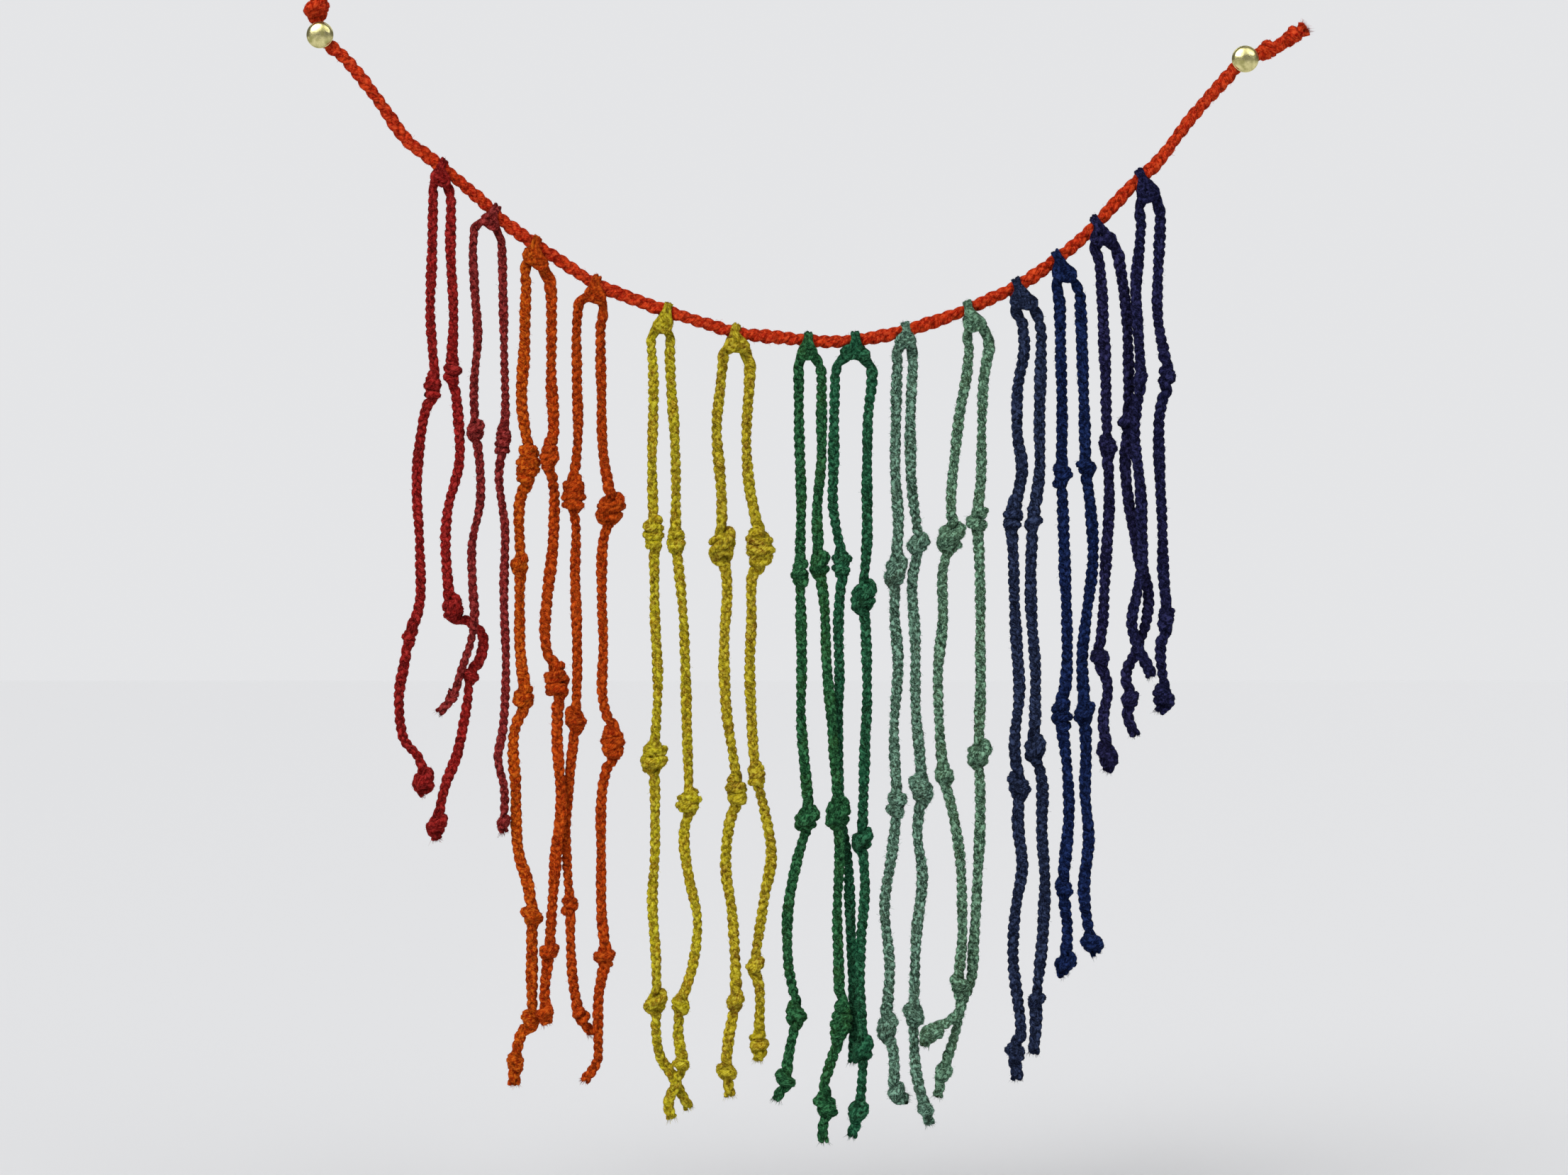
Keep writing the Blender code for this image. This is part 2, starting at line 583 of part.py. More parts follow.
def turned(name, profile, segments, place, collection, material):
    """A solid turned about the Y axis from (radius, y) pairs that start and end on the axis."""
    body = bmesh.new()
    rings = []
    for radius, y in profile:
        if radius == 0:
            rings.append([body.verts.new((0, y / 1000, 0))])
            continue
        angles = [2 * math.pi * k / segments for k in range(segments)]
        rings.append([
            body.verts.new((radius * math.cos(a) / 1000, y / 1000, radius * math.sin(a) / 1000))
            for a in angles
        ])  # fmt: skip
    for lower, upper in zip(rings, rings[1:]):
        for k in range(segments):
            a, b = lower[k % len(lower)], lower[(k + 1) % len(lower)]
            c, d = upper[(k + 1) % len(upper)], upper[k % len(upper)]
            corners = list(dict.fromkeys([a, b, c, d]))
            body.faces.new(corners)
    bmesh.ops.recalc_face_normals(body, faces=body.faces)
    mesh = bpy.data.meshes.new(name)
    body.to_mesh(mesh)
    body.free()
    for face in mesh.polygons:
        face.use_smooth = True
    mesh.materials.append(material)
    obj = bpy.data.objects.new(name, mesh)
    obj.location = (place[0] / 1000, 0, place[1] / 1000)
    collection.objects.link(obj)
    return obj


def material(name, colour, roughness, metallic=0.0):
    made = bpy.data.materials.new(name)
    made.use_nodes = True
    shader = made.node_tree.nodes["Principled BSDF"]
    shader.inputs["Base Color"].default_value = (*colour, 1)
    shader.inputs["Roughness"].default_value = roughness
    shader.inputs["Metallic"].default_value = metallic
    made.diffuse_color = (*colour, 1)
    return made


for old in list(bpy.data.objects):
    bpy.data.objects.remove(old)

parts = bpy.data.collections.new("inca_quipu")
cutters = bpy.data.collections.new("cutters")
bpy.context.scene.collection.children.link(parts)
bpy.context.scene.collection.children.link(cutters)
cutters.hide_render = True

# The primary cord, with a bore where each pin goes through it.
primary_points, primary_radii = knotted(
    PRIMARY_ROUTE, lambda z: 0.0, PRIMARY_THICK, PRIMARY_STEP
)
primary_points = [np.array([q[0], primary_depth(q[0]), q[2]]) for q in primary_points]
primary = tube(
    "primary_cord", primary_points, primary_radii, parts,
    material("primary_wool", PRIMARY_COLOUR, 0.95),
)  # fmt: skip
bpy.context.view_layer.update()
primary = as_mesh(primary, parts)
for face in primary.data.polygons:
    face.use_smooth = True
brass = material("pin_brass", BRASS, 0.3, 1.0)
steel = material("pin_steel", STEEL, 0.35, 1.0)

# Each pin is a brass cap over a steel point, whose flange sits in the cap's recess.
cap_back = PIN_CAP_BACK_Y
flange_back = cap_back + 0.02
recess_floor = cap_back - PIN_RECESS_DEEP
recess_radius = PIN_FLANGE_WIDTH / 2 + 0.05
cap_radius = PIN_CAP_WIDTH / 2
dome = [
    (cap_radius * math.cos(a), cap_back - PIN_CAP_EDGE - (PIN_CAP_RISE - PIN_CAP_EDGE) * math.sin(a))
    for a in (math.radians(degrees) for degrees in (0, 15, 30, 45, 60, 75))
]
for side, place in (("left", LEFT_PIN), ("right", RIGHT_PIN)):
    turned(
        side + "_pin_cap",
        [
            (0, recess_floor), (recess_radius, recess_floor), (recess_radius, cap_back),
            (cap_radius - 0.25, cap_back), (cap_radius, cap_back - 0.25), *dome,
            (0, cap_back - PIN_CAP_RISE),
        ],
        24, place, parts, brass,
    )  # fmt: skip
    turned(
        side + "_pin_point",
        [
            (0, recess_floor + 0.02), (PIN_FLANGE_WIDTH / 2, recess_floor + 0.02),
            (PIN_FLANGE_WIDTH / 2, flange_back), (PIN_POINT_THICK / 2, flange_back),
            (PIN_POINT_THICK / 2, PIN_POINT_TIP_Y - PIN_POINT_TAPER), (0, PIN_POINT_TIP_Y),
        ],
        16, place, parts, steel,
    )  # fmt: skip
    bore = turned(
        side + "_pin_bore",
        [
            (0, BORE_FRONT_Y), (BORE_THICK / 2, BORE_FRONT_Y),
            (BORE_THICK / 2, BORE_BACK_Y), (0, BORE_BACK_Y),
        ],
        16, place, cutters, steel,
    )  # fmt: skip
    bore.display_type = "WIRE"
    cut = primary.modifiers.new(side + " pin bore", "BOOLEAN")
    cut.operation = "DIFFERENCE"
    cut.object = bore
    cut.solver = "EXACT"

# Each pendant cord, with its origin on the primary cord's centre line at its hitch.
for name, pendant in PENDANTS.items():
    line = pendant_line(pendant)
    _, index = nearest_on_primary(*pendant["hitch"])
    joint = PRIMARY_LINE[index]
    points = [point - joint for point, _ in line]
    cord = tube(
        name, points, [radius for _, radius in line], parts,
        material(name + "_wool", pendant["colour"], 0.95),
    )  # fmt: skip
    cord.location = Vector(joint) / 1000
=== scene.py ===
"""Inca quipu: the looks of its plaited wool cords, their knots and hitches, and its two pins."""

import math

import bpy
import numpy as np
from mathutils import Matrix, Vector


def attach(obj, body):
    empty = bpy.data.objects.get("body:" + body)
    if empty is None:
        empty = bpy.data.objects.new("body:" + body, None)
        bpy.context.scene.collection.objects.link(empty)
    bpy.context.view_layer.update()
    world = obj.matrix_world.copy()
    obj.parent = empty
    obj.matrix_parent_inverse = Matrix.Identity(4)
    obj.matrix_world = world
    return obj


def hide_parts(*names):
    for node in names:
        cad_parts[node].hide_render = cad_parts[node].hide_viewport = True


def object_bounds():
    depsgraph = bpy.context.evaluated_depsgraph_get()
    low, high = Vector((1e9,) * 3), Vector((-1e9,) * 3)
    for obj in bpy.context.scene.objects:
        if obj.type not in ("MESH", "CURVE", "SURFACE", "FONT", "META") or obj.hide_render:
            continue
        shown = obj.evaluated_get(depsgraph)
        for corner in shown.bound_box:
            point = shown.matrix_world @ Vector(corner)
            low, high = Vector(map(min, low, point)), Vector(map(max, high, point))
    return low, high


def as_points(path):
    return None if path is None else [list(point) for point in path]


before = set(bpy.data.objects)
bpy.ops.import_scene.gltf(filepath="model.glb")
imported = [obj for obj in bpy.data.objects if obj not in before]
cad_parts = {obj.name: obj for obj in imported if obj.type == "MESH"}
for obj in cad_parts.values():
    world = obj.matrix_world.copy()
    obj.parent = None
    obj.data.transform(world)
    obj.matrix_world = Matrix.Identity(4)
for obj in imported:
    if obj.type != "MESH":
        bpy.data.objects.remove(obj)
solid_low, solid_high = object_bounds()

# The camera stands square to the wall, as someone reading the cords would. Its picture is
# 553 mm wide at the cords, and its middle is a little below the middle of the quipu.
PICTURE_WIDTH = 0.553
PICTURE_MIDDLE = (0.1635, -0.0054, -0.19475)
CAMERA_AWAY = 1.5
SENSOR_WIDTH = 36.0

camera_data = bpy.data.cameras.new("camera")
camera_data.sensor_width = SENSOR_WIDTH
camera_data.lens = SENSOR_WIDTH * CAMERA_AWAY / PICTURE_WIDTH
camera = bpy.data.objects.new("camera", camera_data)
camera.location = (PICTURE_MIDDLE[0], PICTURE_MIDDLE[1] - CAMERA_AWAY, PICTURE_MIDDLE[2])
camera.rotation_euler = (math.pi / 2, 0, 0)
bpy.context.scene.collection.objects.link(camera)
bpy.context.scene.camera = camera

# The studio: a soft main light from the upper left and a weaker one from the upper right,
# whose highlights run together on the brass caps, and a faint one from behind. The surround
# looks as pale as the floor does, but adds little light, so that the cords keep their depth.
LIGHT_SPREAD = 44
SEEN_SURROUND = (0.78, 0.785, 0.8, 1)
FELT_STRENGTH = 0.2

for name, tilt, turn, strength in (
    ("key_light", 50, -32, 2.5), ("fill_light", 52, 38, 0.9), ("back_light", 55, 160, 0.5),
):  # fmt: skip
    light = bpy.data.lights.new(name, "SUN")
    light.angle = math.radians(LIGHT_SPREAD)
    light.energy = strength
    lamp = bpy.data.objects.new(name, light)
    lamp.rotation_euler = (math.radians(tilt), 0, math.radians(turn))
    bpy.context.scene.collection.objects.link(lamp)

world = bpy.data.worlds.new("surround")
world.use_nodes = True
seen = world.node_tree.nodes["Background"]
seen.inputs["Color"].default_value = SEEN_SURROUND
felt = world.node_tree.nodes.new("ShaderNodeBackground")
felt.inputs["Color"].default_value = SEEN_SURROUND
felt.inputs["Strength"].default_value = FELT_STRENGTH
which = world.node_tree.nodes.new("ShaderNodeLightPath")
either = world.node_tree.nodes.new("ShaderNodeMixShader")
mixed = (which.outputs["Is Camera Ray"], felt.outputs[0], seen.outputs[0])
for socket, given in zip(either.inputs, mixed):
    world.node_tree.links.new(given, socket)
world.node_tree.links.new(either.outputs[0], world.node_tree.nodes["World Output"].inputs[0])
bpy.context.scene.world = world
bpy.context.scene.view_settings.view_transform = "Standard"

# The floor is a plain pale sheet some way below the lowest cord ends.
FLOOR_BELOW = 0.035
FLOOR_REACH = 9.0

floor_mesh = bpy.data.meshes.new("floor")
floor_level = solid_low[2] - FLOOR_BELOW
floor_corners = [
    (x * FLOOR_REACH, y * FLOOR_REACH, floor_level)
    for x, y in ((-1, -1), (1, -1), (1, 1), (-1, 1))
]
floor_mesh.from_pydata(floor_corners, [], [(0, 1, 2, 3)])
floor = bpy.data.objects.new("floor", floor_mesh)
bpy.context.scene.collection.objects.link(floor)
floor_paint = bpy.data.materials.new("floor_paint")
floor_paint.use_nodes = True
floor_shader = floor_paint.node_tree.nodes["Principled BSDF"]
floor_shader.inputs["Base Color"].default_value = (0.835, 0.84, 0.855, 1)
floor_shader.inputs["Roughness"].default_value = 0.85
floor_mesh.materials.append(floor_paint)

# The primary cord is three thick strands of vermilion wool plaited tight. It hangs in a curve
# between the pins, which go through it, and is tied in a knot beyond each of them.
PRIMARY_THICK = 4.4
PRIMARY_Y_AT_PIN = -4.2
PRIMARY_Y = -4.8
PRIMARY_KNOT_Y = -3.8
PRIMARY_PLAIT = 12.6
PRIMARY_FUZZ = 0.9
MM = 0.001
FRONT = np.array([0.0, -1.0, 0.0])

# Along a cord a ring of points stands every RING_STEP mm, and a plait is drawn out in a knot
# by KNOT_SLACK. A knot squeezes its cord to a half thickness of SQUEEZED times its thickness.
RING_STEP = 0.72
KNOT_SLACK = 0.6
SQUEEZED = 0.52
STRAND_SIDES = 7
LOOSE_END = 3.0
LAY_APART = 7.3
HAIR_SIDES = 3

# A knot's turns, in degrees round it: one place every TURN_STEP, the first at TURNS_FROM, and
# a band across the front from one BAND_REACH to the other. A knot that is wide for its
# height, from BANDED_FROM, has a band in BANDED_SHARE of cases.
TURN_STEP = 30
TURNS_FROM = 100
TURNS_BEND = 50
BAND_REACH = 75
BANDED_FROM = 0.7
BANDED_SHARE = 0.8
# Its turns rise by TURN_RISE half thicknesses each and bulge at mid height, by BULGE; the cord
# inside them runs at CORE of their radius, and comes in at ENTRY_FULL of its thickness.
TURN_RISE = 1.75
BULGE = 0.7
CORE = 0.35
CORE_FULL = 0.8
ENTRY_FULL = 0.47
SIDE_LEAN = (0.15, 0.5)
FRONT_LEAN = 0.2

LEFT_PIN = (0.0, 0.0)
RIGHT_PIN = (326.0, -8.5)
# A place is (across, up) on the wall plane in millimetres. With two more values it is a
# knot: (across, up, knot width, knot height).
PRIMARY_ROUTE = [
    (-1.5, 20), (-1.25, 9.75, 8.5, 8), LEFT_PIN, (8.75, -8.25), (19.75, -22),
    (30.75, -37.25), (37, -42), (46.5, -49.5), (57.25, -58.75), (65.25, -66.25),
    (75.75, -73.75), (84.5, -79.5), (97, -87.5), (108, -92), (122.25, -97.25),
    (137.25, -102), (147.75, -105), (162, -106.5), (177.5, -108), (185.5, -107.75),
    (199.5, -105.75), (210.75, -102.75), (224.25, -98.25), (235.75, -93.25),
    (247.25, -87.75), (257.5, -80.75), (267.75, -72.5), (273.75, -66.5), (286.25, -53),
    (295, -45), (307.25, -29), (318.25, -16.5), RIGHT_PIN, (334.25, -5, 7.25, 7),
    (338.5, -2.75), (343, 0, 5.5, 8), (347.5, 3),
]  # fmt: skip


def unit(vector):
    return vector / np.linalg.norm(vector)


def units(vectors):
    return vectors / np.linalg.norm(vectors, axis=1)[:, None]


def turns_of(count):
    """Angles evenly round a circle."""
    return 2 * math.pi * np.arange(count) / count


def lengths_along(points):
    steps = np.linalg.norm(np.diff(points, axis=0), axis=1)
    return np.concatenate([[0.0], np.cumsum(steps)])


PER_SPAN = 8


def curve_through(points, per_span=PER_SPAN):
    """Points along a smooth curve through the given ones, as a centripetal spline."""
    p = [np.array(point, float) for point in points]
    p = [2 * p[0] - p[1], *p, 2 * p[-1] - p[-2]]
    out = []
    for i in range(1, len(p) - 2):
        a, b, c, d = p[i - 1 : i + 3]
        t0 = 0.0
        t1 = t0 + max(np.linalg.norm(b - a), 1e-6) ** 0.5
        t2 = t1 + max(np.linalg.norm(c - b), 1e-6) ** 0.5
        t3 = t2 + max(np.linalg.norm(d - c), 1e-6) ** 0.5
        t = (t1 + (t2 - t1) * np.arange(per_span) / per_span)[:, None]
        ab = ((t1 - t) * a + (t - t0) * b) / (t1 - t0)
        bc = ((t2 - t) * b + (t - t1) * c) / (t2 - t1)
        cd = ((t3 - t) * c + (t - t2) * d) / (t3 - t2)
        abc = ((t2 - t) * ab + (t - t0) * bc) / (t2 - t0)
        bcd = ((t3 - t) * bc + (t - t1) * cd) / (t3 - t1)
        out.extend(((t2 - t) * abc + (t - t1) * bcd) / (t2 - t1))
    return np.array([*out, p[-2]])


def tied_knot(centre, ahead, wide, tall, thick, chance):
    """A cord tied in an overhand knot of one or more turns: down through the middle, out at
    the bottom, round and round up to the top, and down again, through the middle of a long
    knot or across the front of a round one. Each place has its half thickness, a 0 for
    squeezed, and the way that its outer side faces."""
    banded = wide > BANDED_FROM * tall and chance.uniform() < BANDED_SHARE
    squeezed = SQUEEZED * thick
    out = max(0.54 * wide - 0.95 * squeezed, 0.5 * squeezed)
    core = CORE * out
    half = tall / 2
    turns = max(1, round((tall - 2 * squeezed) / (TURN_RISE * squeezed)))
    steps = 360 // TURN_STEP * turns
    side = unit(np.cross(ahead, (0, 1, 0)))
    over = np.cross(ahead, side)
    hand = chance.choice([-1, 1])
    start = chance.uniform(0, 2 * math.pi)
    if banded:
        start = math.pi / 2 - hand * math.radians(120 + TURNS_FROM + TURN_STEP * steps)
    lean = (-hand * chance.uniform(*SIDE_LEAN), chance.uniform(-FRONT_LEAN, FRONT_LEAN))

    def at(down, reach, angle, leaning=0.0):
        outward = math.cos(angle) * side + math.sin(angle) * over
        down = down + leaning * reach * (lean[0] * math.cos(angle) + lean[1] * math.sin(angle))
        return centre + down * ahead + reach * outward, outward

    inside, entry = CORE_FULL * squeezed, ENTRY_FULL * thick
    first = start + hand * math.radians(TURNS_BEND)
    made = [
        (at(-half - 0.3 * squeezed, 0, start)[0], entry, 0.0, FRONT),
        (at(-half + 1.2 * squeezed, core, start)[0], inside, 0.0, FRONT),
        (at(half - 1.6 * squeezed, core, start)[0], inside, 0.0, None),
        (at(half - 0.5 * squeezed, 0.6 * out, first)[0], squeezed, 0.0, None),
    ]
    for k in range(steps + 1):
        share = 1 - 2 * k / steps
        reach = out * math.sqrt(1 - (BULGE * share) ** 2)
        angle = start + hand * math.radians(TURNS_FROM + TURN_STEP * k)
        place, outward = at((half - squeezed) * share, reach, angle, 1.0)
        made.append((place, squeezed, 0.0, outward))
    if banded:
        for share in np.linspace(-1, 1, 7):
            reach = out + squeezed * (0.85 - 0.9 * abs(share) ** 2.5)
            angle = math.pi / 2 + hand * math.radians(BAND_REACH) * share
            place, outward = at((half - 0.9 * squeezed) * share, reach, angle)
            made.append((place, 0.95 * squeezed, 0.0, outward))
    else:
        last = start + hand * math.radians(TURNS_FROM + TURNS_BEND + TURN_STEP * steps)
        made += [
            (at(-half + 0.5 * squeezed, 0.6 * out, last)[0], squeezed, 0.0, None),
            (at(-half + 1.6 * squeezed, core, start + math.pi)[0], inside, 0.0, None),
            (at(half - 1.2 * squeezed, core, start + math.pi)[0], inside, 0.0, FRONT),
        ]
    return [*made, (at(half + 0.3 * squeezed, 0, start)[0], entry, 0.0, FRONT)]


def cord_with_knots(route, depth_of, thick, chance):
    """A cord along its route with its knots tied in it, as tied_knot gives its places."""
    line = curve_through([np.array([x, depth_of(x, z), z]) for x, z, *_ in route])
    along = lengths_along(line)
    made = []
    done = -1.0
    for index, place in enumerate(route):
        if len(place) == 2:
            continue
        at, (wide, tall) = index * PER_SPAN, place[2:]
        before = (along > done) & (along < along[at] - 0.5 * tall - 0.25 * thick)
        made += [(q, 0.5 * thick, 1.0, FRONT) for q in line[before]]
        ahead = unit(line[min(at + 2, len(line) - 1)] - line[at - 2])
        made += tied_knot(line[at], ahead, wide, tall, thick, chance)
        done = along[at] + 0.5 * tall + 0.25 * thick
    return made + [(q, 0.5 * thick, 1.0, FRONT) for q in line[along > done]]


def smooth_run(made, marked=None):
    """The run resampled evenly: places, half thicknesses, how squeezed it is, outer sides
    (not a number where they are free), lengths and the index of the marked place."""
    per_span = 4
    line = curve_through([m[0] for m in made], per_span)
    given = np.arange(len(made)) * per_span
    along = lengths_along(line)
    marks = np.linspace(0, along[-1], math.ceil(along[-1] / RING_STEP) + 1)
    places = np.stack([np.interp(marks, along, line[:, axis]) for axis in range(3)], 1)
    radii = np.interp(marks, along[given], [m[1] for m in made])
    squeezed = 1 - np.interp(marks, along[given], [m[2] for m in made])
    squeezed = np.convolve(np.pad(squeezed, 3, "edge"), np.ones(7) / 7, "valid")
    free = np.full(3, np.nan)
    outer = np.array([free if m[3] is None else m[3] for m in made])
    outer = np.stack([np.interp(marks, along[given], outer[:, axis]) for axis in range(3)], 1)
    middle = 0 if marked is None else int(np.argmin(abs(marks - along[given[marked]])))
    return places, radii, squeezed, outer, marks, middle


def facing(places, outer, wander):
    """Two directions square to the cord at each place, with the plait's broad side turned
    to the outer side, a little to and fro."""
    ahead = units(np.gradient(places, axis=0))
    side = np.cross(ahead[0], (0.1, 1, 0))
    across = np.zeros_like(places)
    for i, direction in enumerate(ahead):
        across[i] = side = unit(side - side @ direction * direction)
    over = np.cross(across, ahead)
    fixed = np.flatnonzero(~np.isnan(outer[:, 0]))
    off = np.arctan2(-(outer * across).sum(1)[fixed], (outer * over).sum(1)[fixed])
    turn = np.interp(np.arange(len(places)), fixed, np.unwrap(2 * off) / 2) + wander
    cos, sin = np.cos(turn)[:, None], np.sin(turn)[:, None]
    return ahead, cos * across + sin * over, cos * over - sin * across


class Skin:
    """The faces of one piece, gathered tube by tube."""

    def __init__(self):
        self.points, self.corners, self.counts = [], [], []
        self.lay, self.crown, self.yarn = [], [], []
        self.total = 0

    def add_tube(self, rings, lengths, crown, yarn):
        """A closed tube over rings of places, with its length and turn as the lay."""
        count, sides, _ = rings.shape
        self.points.append(rings.reshape(-1, 3))
        self.crown.append(np.broadcast_to(crown, (count, sides)).reshape(-1))
        self.yarn.append(np.full(count * sides, yarn))
        i, j = np.meshgrid(np.arange(count - 1), np.arange(sides), indexing="ij")
        after = (j + 1) % sides
        quads = np.stack([i * sides + j, i * sides + after, (i + 1) * sides + after,
                          (i + 1) * sides + j], -1)  # fmt: skip
        self.corners.append(quads.reshape(-1) + self.total)
        self.counts.append(np.full((count - 1) * sides, 4))
        low, high = lengths[i], lengths[i + 1]
        turn, turn_after = j / sides, (j + 1) / sides
        lay = np.stack([low, turn, low, turn_after, high, turn_after, high, turn], -1)
        self.lay.append(lay.reshape(-1, 2))
        start = np.arange(sides)[::-1] + self.total
        end = np.arange(sides) + self.total + (count - 1) * sides
        for cap, length in ((start, lengths[0]), (end, lengths[-1])):
            self.corners.append(cap)
            self.counts.append(np.array([sides]))
            self.lay.append(np.tile([[length, 0.0]], (sides, 1)))
        self.total += count * sides

    def object(self, name, material):
        mesh = bpy.data.meshes.new(name)
        points = np.concatenate(self.points) * MM
        corners, counts = np.concatenate(self.corners), np.concatenate(self.counts)
        mesh.vertices.add(len(points))
        mesh.vertices.foreach_set("co", points.ravel())
        mesh.loops.add(len(corners))
        mesh.loops.foreach_set("vertex_index", corners)
        mesh.polygons.add(len(counts))
        mesh.polygons.foreach_set("loop_start", np.concatenate([[0], np.cumsum(counts)[:-1]]))
        mesh.update(calc_edges=True)
        mesh.polygons.foreach_set("use_smooth", np.ones(len(counts), bool))
        mesh.uv_layers.new(name="lay").data.foreach_set("uv", np.concatenate(self.lay).ravel())
        for layer, values in (("crown", self.crown), ("yarn", self.yarn)):
            made = mesh.attributes.new(layer, "FLOAT", "POINT")
            made.data.foreach_set("value", np.concatenate(values))
        mesh.materials.append(material)
        obj = bpy.data.objects.new(name, mesh)
        bpy.context.scene.collection.objects.link(obj)
        return obj


def plait(skin, run, frame_of_run, period, first, last, seed, full=0.51, flare=0.25):
    """Adds three plaited strands between two places of a run. Hand spinning makes them
    uneven, a knot squeezes them together, and at the cut ends they come apart."""
    places, radii, squeezed, _, marks, _ = run
    _, across, over = frame_of_run
    angles = turns_of(STRAND_SIDES)
    near_end = np.minimum(marks - marks[0], marks[-1] - marks)
    loose = np.clip(1 - near_end / LOOSE_END, 0, 1)[:, None]
    laid = np.cumsum(np.gradient(marks) * (1 - KNOT_SLACK * squeezed)) / period
    squeezed = squeezed[:, None]
    uneven = 1.07 + 0.055 * (np.sin(marks / 3.1 + seed) + np.sin(marks / 7.7 + 2.3 * seed))
    reach = (radii * uneven)[:, None]
    for strand in range(3):
        phase = (2 * math.pi * (laid + strand / 3))[:, None]
        centre = (
            places
            + (1.01 - full + flare * loose) * reach * np.sin(phase) * across
            + (0.30 - 0.08 * squeezed + 0.1 * loose) * reach * np.sin(2 * phase) * over
        )
        along = units(np.gradient(centre, axis=0))
        up = units(over - (over * along).sum(1)[:, None] * along)
        right = np.cross(up, along)
        lumps = np.sin(marks / 1.9 + 2.1 * strand + seed) + np.sin(marks / 4.3 + 4 * strand)
        fat = (full + 0.1 * squeezed - 0.035 / flare * loose) * reach * (1 + 0.06 * lumps[:, None])
        rings = centre[:, None] + fat[:, :, None] * (
            np.cos(angles)[None, :, None] * right[:, None]
            + np.sin(angles)[None, :, None] * up[:, None]
        )
        # crown is how far out from the cord's middle each point lies; the wool paints shade where
        # it is low, in the crevices between the strands.
        crown = np.linalg.norm(rings - places[:, None], axis=2) / radii[:, None]
        part = slice(first, last + 1)
        lay = marks[part] + LAY_APART * strand
        skin.add_tube(rings[part], lay, crown[part], float(strand))


def frayed_end(skin, place, ahead, radius, chance, hairs=46):
    """A tuft of loose wool at a cord's cut end."""
    side = unit(np.cross(ahead, (0.3, 1, 0.2)))
    over = np.cross(ahead, side)
    angles = turns_of(HAIR_SIDES)
    for _ in range(hairs):
        turn, reach = chance.uniform(0, 2 * math.pi), radius * chance.uniform(0, 0.85) ** 0.6
        outward = math.cos(turn) * side + math.sin(turn) * over
        lean = outward * chance.uniform(0.0, 0.75) + chance.normal(0, 0.16, 3)
        length = chance.uniform(1.1, 2.5)
        base = place + reach * outward - 1.1 * ahead
        rings = []
        for share, thick in ((0, 0.06), (0.35, 0.06), (0.7, 0.05), (1, 0.02)):
            middle = base + length * (share * ahead + share**1.7 * lean)
            rings.append([
                middle + thick * (math.cos(t) * side + math.sin(t) * over) for t in angles
            ])  # fmt: skip
        skin.add_tube(np.array(rings), np.zeros(4), 1.0, float(chance.integers(0, 3)))


class Wire:
    """A material's socket; sums and products of wires add their own nodes."""

    def __init__(self, finish, socket):
        self.finish, self.socket = finish, socket

    def math(self, operation, *values):
        values = dict(enumerate((self, *values)))
        return self.finish.node("Math", {"operation": operation}, values)

    def __add__(self, other):
        return self.math("ADD", other)

    def __sub__(self, other):
        return self.math("SUBTRACT", other)

    def __rsub__(self, other):
        return self * -1 + other

    def __mul__(self, other):
        return self.math("MULTIPLY", other)

    def between(self, low, high):
        """0 below low, 1 above high."""
        return self.finish.node("MapRange", {}, {0: self, 1: low, 2: high, 3: 0.0, 4: 1.0})


class Finish:
    """A material being made."""

    def __init__(self, name, **constants):
        self.material = bpy.data.materials.new(name)
        self.material.use_nodes = True
        self.tree = self.material.node_tree
        self.shader = self.tree.nodes["Principled BSDF"]
        for socket, value in constants.items():
            self.shader.inputs[socket.replace("_", " ")].default_value = value

    def put(self, socket, value):
        if isinstance(value, Wire):
            self.tree.links.new(value.socket, socket)
        else:
            socket.default_value = value

    def give(self, socket, value):
        self.put(self.shader.inputs[socket], value)

    def node(self, kind, settings, values, output=0):
        made = self.tree.nodes.new("ShaderNode" + kind)
        for key, value in settings.items():
            setattr(made, key, value)
        for key, value in values.items():
            self.put(made.inputs[key], value)
        return Wire(self, made.outputs[output])

    def mix(self, share, first, second):
        return self.node("Mix", {"data_type": "RGBA"}, {0: share, 6: first, 7: second}, 2)

    def noise(self, place, scale, detail=2.0):
        return self.node("TexNoise", {}, {"Vector": place, "Scale": scale, "Detail": detail})

    def attribute(self, name):
        return self.node("Attribute", {"attribute_name": name}, {}, "Fac")


def dye(red, green, blue, strength=1.0):
    """A colour as the shader wants it, from values of 0 to 255 on a screen."""
    values = (c / 255 for c in (red, green, blue))
    return (*(strength * (c / 12.92 if c <= 0.04045 else ((c + 0.055) / 1.055) ** 2.4)
              for c in values), 1)  # fmt: skip


# The plies twist by PLY_TWIST radians a millimetre, and FIBRE_STRETCH makes the grain long.
PLY_TWIST = 1.45
FIBRE_STRETCH = 0.11


